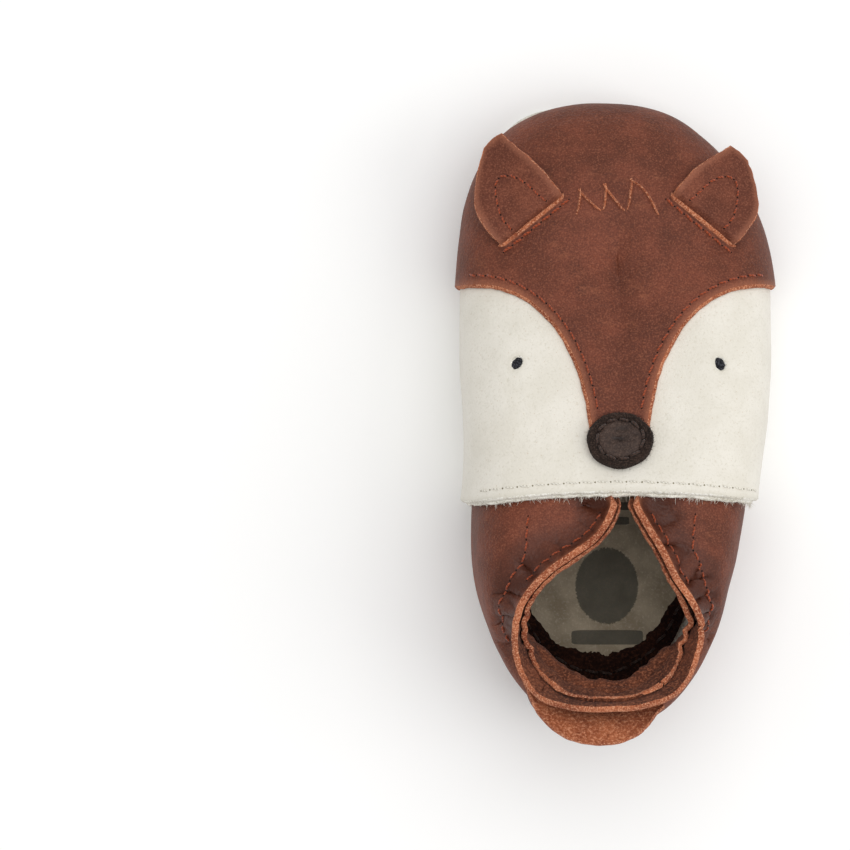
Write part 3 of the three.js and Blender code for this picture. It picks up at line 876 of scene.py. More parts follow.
class Recipe:
    """A material in the making: one method adds nodes, and expressions add Math nodes."""

    def __init__(self, name: str) -> None:
        """Starts an empty node tree.

        Args:
            name: what the material is called.
        """
        self.material = bpy.data.materials.new(name)
        self.material.use_nodes = True
        self.tree = self.material.node_tree
        self.tree.nodes.clear()

    def node(self, kind: str, settings: dict[str, Any], sockets: dict[Any, Any]) -> Any:
        """Adds a node.

        Args:
            kind: the node's type.
            settings: its own settings, set first; "stops" are a ramp's.
            sockets: values or signals for its inputs, by name or number.

        Returns:
            The node.
        """
        made = self.tree.nodes.new(kind)
        for key, value in settings.items():
            if key != "stops":
                setattr(made, key, value)
        for k, (place, colour) in enumerate(settings.get("stops", ())):
            stop = made.color_ramp.elements[k] if k < 2 else made.color_ramp.elements.new(place)
            stop.position, stop.color = place, (*colour, 1.0)
        for key, value in sockets.items():
            if isinstance(value, Signal):
                self.tree.links.new(value.socket, made.inputs[key])
            else:
                made.inputs[key].default_value = value
        return made

    def place(self) -> "Signal":
        """Object coordinates."""
        return Signal(self, self.node("ShaderNodeTexCoord", {}, {}).outputs["Object"])

    def stretched(self, scale: tuple[float, float, float], turn: float = 0.0) -> "Signal":
        """Object coordinates turned about Z and scaled along each axis."""
        sockets = {"Vector": self.place(), "Rotation": (0.0, 0.0, turn), "Scale": scale}
        return Signal(self, self.node("ShaderNodeMapping", {}, sockets).outputs[0])

    def lumps(
        self, size: float, detail: float = 2.0, rough: float = 0.5, at: "Signal | None" = None
    ) -> "Signal":
        """Noise from 0 to 1 with lumps of a size in millimetres."""
        scale = 1 / (size * MM)
        sockets = {"Vector": at or self.place(), "Scale": scale, "Detail": detail, "Roughness": rough}
        return Signal(self, self.node("ShaderNodeTexNoise", {}, sockets).outputs[0])

    def pebbles(self, size: float, feature: str = "F1", at: "Signal | None" = None) -> "Signal":
        """Distance within the cells of a pebble pattern of a size in millimetres."""
        sockets = {"Vector": at or self.place(), "Scale": 1 / (size * MM)}
        return Signal(self, self.node("ShaderNodeTexVoronoi", {"feature": feature}, sockets).outputs[0])

    def kept(self, name: str) -> "Signal":
        """A value kept on the mesh."""
        return Signal(self, self.node("ShaderNodeAttribute", {"attribute_name": name}, {}).outputs["Fac"])

    def ramp(self, value: "Signal", low: float, high: float) -> "Signal":
        """0 up to low, 1 from high, eased between.

        Args:
            value: what is eased.
            low: where it starts.
            high: where it ends.

        Returns:
            The eased value.
        """
        settings = {"interpolation_type": "SMOOTHSTEP", "clamp": True}
        sockets = {"Value": value, "From Min": low, "From Max": high}
        return Signal(self, self.node("ShaderNodeMapRange", settings, sockets).outputs[0])

    def mix(self, share: Any, first: Any, second: Any, blend: str = "MIX") -> "Signal":
        """A colour between two colours.

        Args:
            share: how much of the second colour.
            first: colour at share 0.
            second: colour at share 1.
            blend: how they are blended.

        Returns:
            The blended colour.
        """
        colours = [c if isinstance(c, Signal) else (*c, 1.0) for c in (first, second)]
        settings = {"data_type": "RGBA", "blend_type": blend, "clamp_factor": True}
        made = self.node("ShaderNodeMix", settings, {0: share, 6: colours[0], 7: colours[1]})
        return Signal(self, made.outputs[2])

    def dent(self, height: "Signal", depth: float, after: "Signal | None" = None) -> "Signal":
        """A normal bumped by a height of so many millimetres.

        Args:
            height: height, as a signal.
            depth: millimetres that a height of 1 stands for.
            after: normal that it is added to.

        Returns:
            The bumped normal.
        """
        sockets = {"Height": height, "Strength": 1.0, "Distance": depth * MM}
        if after:
            sockets["Normal"] = after
        return Signal(self, self.node("ShaderNodeBump", {}, sockets).outputs[0])

    def finish(self, sockets: dict[str, Any]) -> bpy.types.Material:
        """Ends the material with a principled shader.

        Args:
            sockets: constants for the shader, by socket name.

        Returns:
            The material.
        """
        shader = self.node("ShaderNodeBsdfPrincipled", {}, sockets)
        out = self.node("ShaderNodeOutputMaterial", {}, {})
        self.tree.links.new(shader.outputs[0], out.inputs[0])
        return self.material


@dataclass(frozen=True)
class Signal:
    """A socket that can be used in arithmetic."""

    recipe: Recipe
    socket: Any

    def maths(self, operation: str, first: Any, second: Any) -> "Signal":
        """Adds one Math node."""
        node = self.recipe.node("ShaderNodeMath", {"operation": operation}, {0: first, 1: second})
        return Signal(self.recipe, node.outputs[0])

    def __add__(self, other: Any) -> "Signal":
        """Sum."""
        return self.maths("ADD", self, other)

    def __radd__(self, other: Any) -> "Signal":
        """Sum with a number first."""
        return self.maths("ADD", other, self)

    def __sub__(self, other: Any) -> "Signal":
        """Difference."""
        return self.maths("SUBTRACT", self, other)

    def __rsub__(self, other: Any) -> "Signal":
        """Difference from a number."""
        return self.maths("SUBTRACT", other, self)

    def __mul__(self, other: Any) -> "Signal":
        """Product."""
        return self.maths("MULTIPLY", self, other)

    def __rmul__(self, other: Any) -> "Signal":
        """Product with a number first."""
        return self.maths("MULTIPLY", other, self)

    def power(self, exponent: float) -> "Signal":
        """The size of the signal raised to a power."""
        return self.maths("POWER", self.maths("ABSOLUTE", self, 0.0), exponent)

    def at_least(self, other: Any) -> "Signal":
        """The greater of two."""
        return self.maths("MAXIMUM", self, other)


Colour = tuple[float, float, float]


def tone(red: int, green: int, blue: int, gain: float = 1.0) -> Colour:
    """A colour from the 0 to 255 numbers of a dyer's chart, made linear and scaled."""
    return tuple(min(1.0, gain * (c / 255) ** 2.2) for c in (red, green, blue))


@dataclass(frozen=True)
class WaxedLeather:
    """Waxed, slightly greasy leather: speckled, clouded, paler where it is rubbed."""

    name: str
    deep: Colour
    body: Colour
    rubbed: Colour
    roughness: float = 0.62
    grain: float = 0.1

    def dress(self) -> bpy.types.Material:
        """Colour from clouds, mottle and speckle, with darkening over the gathered band and painted shade in
        creases and knife cuts; bump from pebbles and fine pores.

        Returns:
            The material.
        """
        r = Recipe(self.name)
        cloud = r.lumps(22, 3.0, 0.55)
        mottle = r.lumps(5.5, 4.0, 0.62)
        speckle = r.lumps(0.34, 2.0, 0.7)
        pores = r.pebbles(0.8)
        fold = r.kept("fold")
        cut = r.kept("cut")
        tint = r.mix(r.ramp(cloud * 0.55 + mottle * 0.45, 0.36, 0.66), self.deep, self.body)
        scuff = r.ramp(r.lumps(7, 5.0, 0.7, r.stretched((1.0, 1.9, 1.0), 0.5)), 0.56, 0.76)
        tint = r.mix(scuff * 0.42, tint, self.rubbed)
        tint = r.mix(r.ramp(speckle, 0.5, 0.68) * 0.42, tint, self.rubbed)
        tint = r.mix(r.ramp(speckle, 0.5, 0.32) * 0.5, tint, tuple(0.6 * c for c in self.deep))
        # Darker by the kept fold value over the gathered collar band; in its creases and in the nose's creases
        # this is painted shade.
        tint = r.mix(fold * 0.85, tint, tuple(0.5 * c for c in self.deep))
        tint = r.mix(r.ramp(r.kept("edge"), 1.6, 0.0) * 0.5, tint, self.rubbed)
        # Painted shade: near black where the kept cut value marks the deep middle of knife cuts and the gap of the
        # ear slits.
        tint = r.mix(cut, tint, tuple(0.16 * c for c in self.deep))
        rough = self.roughness + 0.1 * (speckle - 0.5) - 0.2 * fold + 0.12 * scuff
        fine = r.dent(r.lumps(0.45, 3.0, 0.65), self.grain)
        normal = r.dent(pores, self.grain, r.dent(r.lumps(2.6, 3.0), 0.28, fine))
        return r.finish({
            "Base Color": tint, "Roughness": rough, "Normal": normal,
            "Specular IOR Level": 0.26,
        })


@dataclass(frozen=True)
class Nap:
    """Suede, felt or a raw cut edge: matt and fuzzy, with fibres that catch the light."""

    name: str
    deep: Colour
    body: Colour
    tip: Colour
    fibre: float = 0.4
    height: float = 0.22
    sheen: float = 0.04

    def dress(self) -> bpy.types.Material:
        """Colour and bump from fibre-sized noise over soft patches.

        Returns:
            The material.
        """
        r = Recipe(self.name)
        patch = r.lumps(6.0, 3.0, 0.6)
        fibres = r.lumps(self.fibre, 3.0, 0.72)
        tint = r.mix(r.ramp(patch, 0.34, 0.66), self.deep, self.body)
        tint = r.mix(r.ramp(fibres, 0.48, 0.66) * 0.85, tint, self.tip)
        tint = r.mix(r.ramp(fibres, 0.48, 0.32) * 0.8, tint, tuple(0.7 * c for c in self.deep))
        normal = r.dent(r.lumps(1.4, 3.0, 0.6), 0.25, r.dent(fibres, self.height))
        return r.finish({
            "Base Color": tint, "Roughness": 0.93, "Normal": normal,
            "Specular IOR Level": 0.2, "Sheen Weight": self.sheen, "Sheen Roughness": 0.6,
        })


@dataclass(frozen=True)
class Nubuck:
    """Cream leather with a short nap: small pits, faint lint and a few coloured specks."""

    name: str
    body: Colour
    shade: Colour
    speck: Colour

    def dress(self) -> bpy.types.Material:
        """Colour from patches and pits, with painted shade along the hem and round the eye slots; bump from the
        nap and shallow pits.

        Returns:
            The material.
        """
        r = Recipe(self.name)
        patch = r.lumps(9.0, 4.0, 0.6)
        nap = r.lumps(0.55, 3.0, 0.7)
        pits = r.pebbles(1.3)
        tint = r.mix(0.72 + 0.28 * r.ramp(patch, 0.35, 0.65), self.shade, self.body)
        tint = r.mix(r.ramp(nap, 0.48, 0.28) * 0.6, tint, self.shade)
        tint = r.mix(r.ramp(pits, 0.13, 0.05) * 0.35, tint, self.speck)
        # Painted shade: darker within about a millimetre of the hem and of the eye slots.
        tint = r.mix(r.ramp(r.kept("edge"), 1.0, 0.0) * 0.35, tint, self.shade)
        # Painted shade where the kept cut value is set; it is nil on the cheeks.
        tint = r.mix(r.kept("cut"), tint, tuple(0.3 * c for c in self.speck))
        normal = r.dent(r.lumps(3.0, 3.0, 0.6), 0.2, r.dent(nap, 0.14))
        return r.finish({
            "Base Color": tint, "Roughness": 0.9, "Normal": normal,
            "Specular IOR Level": 0.2, "Sheen Weight": 0.2, "Sheen Roughness": 0.5,
        })


@dataclass(frozen=True)
class Yarn:
    """Waxed sewing thread: two plies that show as slanting stripes along each stitch."""

    name: str
    body: Colour
    groove: Colour

    def dress(self) -> bpy.types.Material:
        """Stripes from the mesh's own ply value, with the groove colour as painted shade between the plies, over
        fibre noise.

        Returns:
            The material.
        """
        r = Recipe(self.name)
        stripe = r.ramp(r.kept("ply"), 0.1, 0.7)
        # Painted shade: the groove colour darkens the twist between the plies.
        tint = r.mix(stripe, self.groove, self.body)
        tint = r.mix(r.lumps(0.3, 2.0) * 0.35, tint, tuple(min(1.0, 1.6 * c) for c in self.body))
        return r.finish({
            "Base Color": tint, "Roughness": 0.6, "Normal": r.dent(stripe, 0.08),
            "Specular IOR Level": 0.35, "Sheen Weight": 0.2,
        })


@dataclass(frozen=True)
class PrintedSuede:
    """Insole suede with a plain printed oval and three bars, rubbed through in places."""

    name: str
    deep: Colour
    body: Colour
    tip: Colour
    ink: Colour
    oval: tuple[float, float, float, float] = (-1.3, -34.0, 6.5, 7.9)
    bars: tuple[tuple[float, float, float, float], ...] = (
        (-1.2, -44.6, 7.4, 1.5), (0.3, -17.6, 4.4, 0.8), (0.3, -20.6, 3.0, 0.8),
    )

    def dress(self) -> bpy.types.Material:
        """The nap's colour, inked inside an ellipse and inside three rounded bars.

        Returns:
            The material.
        """
        r = Recipe(self.name)
        fibres = r.lumps(0.5, 3.0, 0.75)
        tint = r.mix(r.ramp(r.lumps(5.0, 3.0), 0.3, 0.7), self.deep, self.body)
        tint = r.mix(r.ramp(fibres, 0.5, 0.76) * 0.7, tint, self.tip)
        split = r.node("ShaderNodeSeparateXYZ", {}, {"Vector": r.place()})
        x, y = (Signal(r, split.outputs[k]) for k in (0, 1))
        marks = []
        for power, (cx, cy, rx, ry) in [(2.0, self.oval)] + [(8.0, bar) for bar in self.bars]:
            a = ((x - cx * MM) * (1 / (rx * MM))).power(power)
            b = ((y - cy * MM) * (1 / (ry * MM))).power(power)
            total = a + b
            marks.append(r.ramp(total + 0.35 * (fibres - 0.5), 1.02, 0.94))
        ink = marks[0]
        for mark in marks[1:]:
            ink = ink.at_least(mark)
        tint = r.mix(ink * (0.8 + 0.3 * (fibres - 0.5)), tint, self.ink)
        normal = r.dent(r.lumps(1.6, 3.0, 0.6), 0.2, r.dent(fibres, 0.2))
        return r.finish({
            "Base Color": tint, "Roughness": 0.95, "Normal": normal,
            "Specular IOR Level": 0.15, "Sheen Weight": 0.15, "Sheen Roughness": 0.6,
        })


class Finish(Enum):
    """Every finish on the bootie."""

    BROWN = WaxedLeather("waxed_brown", tone(90, 48, 34), tone(115, 62, 45), tone(156, 97, 72))
    EAR = WaxedLeather("waxed_brown_ear", tone(92, 49, 35), tone(118, 66, 48), tone(156, 99, 76), 0.68)
    CREAM = Nubuck("cream_nubuck", tone(227, 222, 211), tone(202, 196, 180), tone(180, 150, 120))
    FLESH = Nap("brown_suede", tone(76, 40, 26), tone(106, 60, 41), tone(150, 92, 66), 0.5, 0.25)
    # Painted light: a lighter copy of the brown flesh suede, for the heel tab's face, which lies in shade.
    TAB_FLESH_LIT = Nap("tab_suede_lit", tone(140, 74, 48), tone(178, 104, 70), tone(214, 146, 110), 0.5, 0.25)
    # Painted shade: a near black copy of the brown leather for the seam allowance, which lies in shade inside the
    # shoe.
    INNER_SHADED = Nap("inner_leather_shaded", tone(34, 18, 12), tone(50, 28, 20), tone(74, 44, 32), 0.6, 0.15)
    RAW = Nap("raw_edge", tone(136, 70, 46), tone(184, 108, 74), tone(232, 170, 134), 0.35, 0.25)
    RAW_CREAM = Nap("raw_cream", tone(212, 206, 190), tone(238, 234, 222), tone(252, 250, 244), 0.4)
    SOLE = Nap("sole_suede", tone(206, 200, 186), tone(228, 224, 212), tone(244, 241, 233), 0.5)
    INSOLE = PrintedSuede(
        "insole_suede", tone(170, 154, 130), tone(206, 190, 164), tone(232, 220, 200), tone(88, 88, 80)
    )
    NOSE = WaxedLeather("nose_leather", tone(50, 38, 33), tone(70, 55, 48), tone(102, 84, 74), 0.6, 0.12)
    FELT = Nap("nose_edge", tone(32, 23, 18), tone(48, 36, 30), tone(78, 62, 54), 0.3, 0.3)
    ORANGE = Yarn("orange_thread", tone(150, 66, 30), tone(84, 32, 14))
    WHITE = Yarn("cream_thread", tone(226, 221, 206), tone(170, 160, 138))
    DARK = Yarn("nose_thread", tone(60, 40, 30), tone(26, 16, 12))
    # Painted shadow: near black discs in the needle holes.
    SHADOW = Nap("needle_hole_shadow", tone(18, 9, 6), tone(30, 15, 10), tone(44, 24, 16), 0.3, 0.1)
    # Painted shade: olive-grey discs in the hem's needle holes.
    HEM_HOLE_SHADE = Nap("hem_hole_shade", tone(96, 88, 66), tone(120, 112, 88), tone(150, 142, 118), 0.3, 0.1)
    CHARCOAL = Nap("eye_thread", tone(24, 24, 27), tone(44, 45, 50), tone(92, 92, 98), 0.35, 0.3)
    ELASTIC = Nap("elastic", tone(196, 192, 182), tone(220, 216, 206), tone(240, 238, 230), 0.6)

    @property
    def made(self) -> bpy.types.Material:
        """The material, made on first use."""
        if self not in DRESSED:
            DRESSED[self] = self.value.dress()
        return DRESSED[self]


DRESSED: dict[Finish, bpy.types.Material] = {}


# ---------------------------------------------------------------- how leathers lie


def relief(base: Array) -> Array:
    """Soft unevenness of worn-in leather, shared by every layer: two sizes of noise."""
    return 0.42 * noise(base, 17.0, 3) + 0.1 * noise(base, 5.5, 4)


class FootOpening:
    """The collar: where its edge runs, and how elastic gathers the leathers round it."""

    def __init__(self, pattern: Pattern) -> None:
        """Lays the edge over the last.

        Args:
            pattern: the cut of the shoe.
        """
        self.pattern = pattern
        self.line = resample(pattern.collar(), 1.0)[0]
        self.arc = np.concatenate([[0], np.cumsum(np.linalg.norm(np.diff(self.line, axis=0), axis=1))])
        self.height = LAST.over(self.line[:, 0], self.line[:, 1], 2.5)[0][:, 2]

    def inside(self, p: Array, out: float) -> Array:
        """Signed distance into the leather from the edge moved outwards by so much."""
        dist = nearest(p, self.line)[0]
        return np.where(within(p, self.line), -dist, dist) - out

    def below(self, base: Array) -> tuple[Array, Array, Array, Array, Array]:
        """Where points lie against the edge.

        Args:
            base: points on a leather.

        Returns:
            Depth below the edge along the leather, arc length of the nearest edge place,
            how far round the heel it is from 0 to 1, the plan direction away from it, and
            the drop in height.
        """
        dist, arc, spot = nearest(base[:, :2], self.line)
        drop = np.interp(arc, self.arc, self.height) - base[:, 2]
        round_heel = smooth((-37 - spot[:, 1]) / 13)
        away = unit(base[:, :2] - spot + 1e-9)
        away = np.where(within(base[:, :2], self.line)[:, None], -away, away)
        return np.hypot(dist, np.maximum(drop, 0)), arc, round_heel, away, drop

    def creases(self, base: Array) -> tuple[Array, Array]:
        """How gathered a leather is, and its narrow creases: valleys where two noises cross zero.

        Args:
            base: points on the plain last.

        Returns:
            How gathered, 0 to 1, and the depth of the creases.
        """
        depth, arc, heel, _, drop = self.below(base)
        band = smooth((self.pattern.casing(base[:, 1]) * 1.3 - drop) / 1.5 + 0.4)
        band = band * (1 - 0.6 * heel) * smooth(depth / 3.0)
        strands = np.stack([arc, depth * 0.4, np.full_like(arc, 3.0)], 1)
        across = base * np.array([0.5, 1.25, 1.0])
        valleys = bell(noise(across, 4.4, 5), 0.0, 0.17) + 0.8 * bell(noise(strands, 3.6, 6), 0.0, 0.19)
        return band, valleys

    def swell(self, base: Array) -> Array:
        """How much thicker a leather is at its raw edge, where it has frayed."""
        return 0.34 * (1 - np.clip(self.below(base)[0] / 3.5, 0, 1)) ** 1.2

    def pull(self, base: Array, normal: Array) -> Array:
        """Gathers a leather into the collar.

        Args:
            base: points on the plain last.
            normal: its normals there.

        Returns:
            The points moved by relief; by a waist, a bell about the elastic's depth; by
            puckers, smooth noise less the creases; and near the edge by a lip, whose
            plan distance from the edge is compressed by a power so that it stands up.
        """
        depth, arc, heel, away, _ = self.below(base)
        hem = self.pattern.hem(base[:, 0])
        clear = smooth((hem - 0.2 - base[:, 1]) / 2.4)
        inward = normal * np.stack([np.ones_like(heel), np.ones_like(heel), 1 - 0.8 * heel], 1)
        waist = (1.0 + 5.6 * heel) * bell(depth, 5.2 + 2.2 * heel, 3.2 + 0.8 * heel)
        band, valleys = self.creases(base)
        pucker = band * (0.25 + 0.55 * noise(base, 5.0, 7) - 0.95 * valleys)
        moved = base + normal * (relief(base) + clear * pucker)[:, None]
        moved -= inward * (clear * waist)[:, None]
        near = np.clip(depth / 5.0, 0, 1)
        lean = clear * 5.0 * (near - near**2.3)
        moved[:, :2] -= away * lean[:, None]
        lip = clear * (1 - np.clip(depth / 5.5, 0, 1)) ** 1.5
        wave = 0.3 * noise(np.stack([arc, arc * 0, arc * 0], 1), 9.0, 8)
        moved[:, 2] += lip * (3.0 + 0.2 * heel + wave)
        flare = heel * (1 - np.clip(depth / 8.0, 0, 1)) ** 1.4
        moved[:, 1] -= 3.6 * flare
        moved[:, 0] += 0.9 * flare * np.sign(base[:, 0] - self.pattern.face_x)
        return moved


OPENING = FootOpening(PATTERN)


@dataclass(frozen=True)
class Drape:
    """One leather lying on the last."""

    layer: Layer
    gathered: bool = False

    def moved(self, u: Array, v: Array, d: float) -> Array:
        """Points at a distance from the last, with relief and the pull of the collar.

        Args:
            u: turns round the last.
            v: ways up the last.
            d: distance grown out from the last.

        Returns:
            One point for each turn.
        """
        base, normal = LAST.surface(u, v, d), LAST.normal(u, v, d)
        if self.gathered:
            return OPENING.pull(base, normal)
        return base + normal * relief(base)[:, None]

    def place(self, u: Array, v: Array, share: Array | float) -> Array:
        """A point through the thickness: along the normal of the moved middle face.

        Args:
            u: turns round the last.
            v: ways up the last.
            share: share through the thickness, 1 on the grain face.

        Returns:
            One point for each turn.
        """
        middle = (self.layer.inner + self.layer.outer) / 2
        thickness = self.layer.outer - self.layer.inner
        if self.gathered:
            thickness = thickness * (1 + OPENING.swell(LAST.surface(u, v, middle)))
        normal = level(u, v, lambda a, b: self.moved(a, b, middle))
        return self.moved(u, v, middle) + normal * ((np.asarray(share) - 0.5) * thickness)[..., None]

    def seam(self, plan: Array, rise: float = 0.0) -> tuple[Array, Array]:
        """Grain points and normals straight above plan points."""
        u, v = LAST.under(plan[:, 0], plan[:, 1], (self.layer.inner + self.layer.outer) / 2)
        return self.lay(u, v, rise)

    def lay(self, u: Array, v: Array, rise: float = 0.0) -> tuple[Array, Array]:
        """Grain points, raised a little, and normals.

        Args:
            u: turns round the last.
            v: ways up the last.
            rise: how far off the grain face.

        Returns:
            Points and their normals.
        """
        top = self.place(u, v, 1.0)
        normal = unit(top - self.place(u, v, 0.0))
        return top + normal * rise, normal


@dataclass
class Grid:
    """Lines of u and v over the last, with extra ones where detail is fine."""

    around: int = 400
    up: int = 62
    low: float = 0.0718

    def lines(self) -> tuple[Array, Array]:
        """Even lines, with the same turns on both sides of the ridge.

        Returns:
            Turns, and ways up.
        """
        half = np.linspace(0, 0.5, self.around // 2 + 1)
        below = np.linspace(self.low, LAST.belly_v, 9)[:-1]
        above = LAST.belly_v + (1 - LAST.belly_v) * np.linspace(0, 1, self.up)
        return np.concatenate([half, 1 - half[::-1][1:]]), np.concatenate([below, above])

    def cut(self, d: float, inside: Callable[[Array, Array, Array], Array]) -> tuple[Array, list[Array]]:
        """Trims the grid by a function of the plain last's points, u and v.

        Args:
            d: distance grown out from the last.
            inside: what is kept: above zero.

        Returns:
            Turns and ways up of the kept corners, and their faces.
        """
        us, vs = self.lines()
        u, v = (a.ravel() for a in np.meshgrid(us, vs, indexing="ij"))
        value = inside(LAST.surface(u, v, d), u, v)
        return trimmed(us, vs, value.reshape(len(us), len(vs)))


@dataclass
class Seam:
    """A row of hand-sized stitches."""

    length: float = 1.9
    gap: float = 0.55
    radius: float = 0.2
    slant: float = 0.12
    hole: float = 0.21
    sides: int = 6
    rows: int = 7

    def stitches(self, line: Array, normals: Array) -> Shape:
        """Stitches along a line, each with a needle hole at its start.

        Args:
            line: points on the leather.
            normals: the leather's normals there.

        Returns:
            Capsules whose middle line rises as one less the fourth power of the place
            along the stitch, and dips under the leather at both ends; and flat dark discs,
            the painted shadow of the needle holes.
        """
        arc = np.concatenate([[0], np.cumsum(np.linalg.norm(np.diff(line, axis=0), axis=1))])
        count = max(1, int((arc[-1] + self.gap) / (self.length + self.gap)))
        pitch = (arc[-1] + self.gap) / count
        starts = np.arange(count) * pitch
        t = np.linspace(-1, 1, self.rows)
        where = starts[:, None] + (t + 1) / 2 * (pitch - self.gap)
        centre = np.stack([np.interp(where, arc, line[:, k]) for k in range(3)], 2)
        up = unit(np.stack([np.interp(where, arc, normals[:, k]) for k in range(3)], 2))
        ahead = unit(np.gradient(centre, axis=1))
        side = unit(np.cross(ahead, up))
        wobble = np.sin(starts * 12.9 + 1.3)[:, None]
        centre = centre + side * ((self.slant + 0.04 * wobble) * t)[..., None]
        centre += up * (self.radius * (0.75 - 1.5 * t**4))[None, :, None]
        size = self.radius * (1 - 0.3 * t**4) * (1 + 0.08 * wobble)
        turn = np.linspace(0, 2 * np.pi, self.sides, endpoint=False)
        ring = side[:, :, None] * np.cos(turn)[:, None] + up[:, :, None] * np.sin(turn)[:, None]
        points = centre[:, :, None] + ring * size[:, :, None, None]
        per = self.rows * self.sides
        base = np.arange(count)[:, None, None] * per
        tube = grid_faces(self.rows, self.sides, True)[None][:, :, ::-1] + base
        first = np.arange(self.sides)[None] + base[:, 0]
        last = first[:, ::-1] + per - self.sides
        ply = 0.5 + 0.5 * np.sin(where[:, :, None] * 9.0 + turn)
        spots = np.append(starts - self.gap / 2, arc[-1] + self.gap / 4)
        hole = np.stack([np.interp(spots, arc, line[:, k]) for k in range(3)], 1)
        out = unit(np.stack([np.interp(spots, arc, normals[:, k]) for k in range(3)], 1))
        x = unit(np.cross(out, [0.3, 0.9, 0.1]))
        y = np.cross(out, x)
        spoke = x[:, None] * np.cos(turn)[:, None] + y[:, None] * np.sin(turn)[:, None]
        rings = [
            hole[:, None] + out[:, None] * rise + self.hole * wide * spoke
            for rise, wide in ((-0.12, 1.0), (0.03, 0.9), (0.05, 0.35))
        ]
        disc = np.stack(rings, 1).reshape(-1, 3)
        start = count * per + np.arange(len(spots))[:, None, None] * 3 * self.sides
        lens = (grid_faces(3, self.sides, True)[None] + start).reshape(-1, 4)
        under = np.arange(self.sides)[None, ::-1] + start[:, 0]
        over = np.arange(self.sides)[None] + start[:, 0] + 2 * self.sides
        faces = [(tube.reshape(-1, 4), 0), (first, 0), (last, 0), (lens, 1), (under, 1), (over, 1)]
        values = {"ply": np.concatenate([ply.ravel(), np.zeros(len(disc))])}
        return Shape(np.vstack([points.reshape(-1, 3), disc]), faces, values)


def joined(shapes: Sequence[Shape]) -> Shape:
    """Several shapes as one.

    Args:
        shapes: surfaces to put together.

    Returns:
        One surface with all their groups and values.
    """
    faces, start = [], 0
    for shape in shapes:
        faces += [(f + start, s) for f, s in shape.faces]
        start += len(shape.points)
    keys = shapes[0].values
    values = {k: np.concatenate([s.values[k] for s in shapes]) for k in keys}
    return Shape(np.vstack([s.points for s in shapes]), faces, values)


def hairs(line: Array, out: Array, count: int, length: float, spread: float, seed: int) -> Shape:
    """Loose fibres along a cut edge.

    Args:
        line: points along the edge.
        out: the way that fibres stand, one row for each point.
        count: how many.
        length: the longest.
        spread: how far they stray sideways, as a share of their length.
        seed: of the random draws.

    Returns:
        Three-sided tapering tubes, each along a parabola that bends to one side.
    """
    draw = np.random.default_rng(seed)
    arc = np.concatenate([[0], np.cumsum(np.linalg.norm(np.diff(line, axis=0), axis=1))])
    at = draw.uniform(0, arc[-1], count)
    root = np.stack([np.interp(at, arc, line[:, k]) for k in range(3)], 1)
    way = unit(np.stack([np.interp(at, arc, out[:, k]) for k in range(3)], 1))
    way = unit(way + draw.normal(0, spread, (count, 3)))
    bend = unit(draw.normal(0, 1, (count, 3)))
    size = length * draw.uniform(0.25, 1.0, count) ** 1.6
    t = np.linspace(0, 1, 4)[None, :, None]
    curve = root[:, None] + size[:, None, None] * (way[:, None] * (t - 0.08) + bend[:, None] * 0.45 * t**2)
    side = unit(np.cross(way, bend))[:, None, None]
    up = np.cross(side, way[:, None, None])
    turn = np.linspace(0, 2 * np.pi, 3, endpoint=False)[None, None, :, None]
    radius = (0.045 * (1 - 0.7 * t))[..., None]
    points = curve[:, :, None] + radius * (side * np.cos(turn) + up * np.sin(turn))
    base = np.arange(count)[:, None, None] * 12
    tube = (grid_faces(4, 3, True)[None][:, :, ::-1] + base).reshape(-1, 4)
    ends = np.arange(3)[None] + base[:, 0]
    faces = [(tube, 0), (ends, 0), (ends[:, ::-1] + 9, 0)]
    return Shape(points.reshape(-1, 3), faces, {"edge": np.zeros(count * 12)})


def leather_values(edge: Callable[[Array], Array] | None = None) -> dict[str, Callable[[Array], Array]]:
    """The values that the leather finishes read, at rest: no fold darkening, no painted shade of a cut, far from
    an edge.
    """
    nil = lambda uv: np.zeros(len(uv))
    return {"fold": nil, "cut": nil, "edge": edge or (lambda uv: np.full(len(uv), 9.0))}


# ---------------------------------------------------------------- the sole


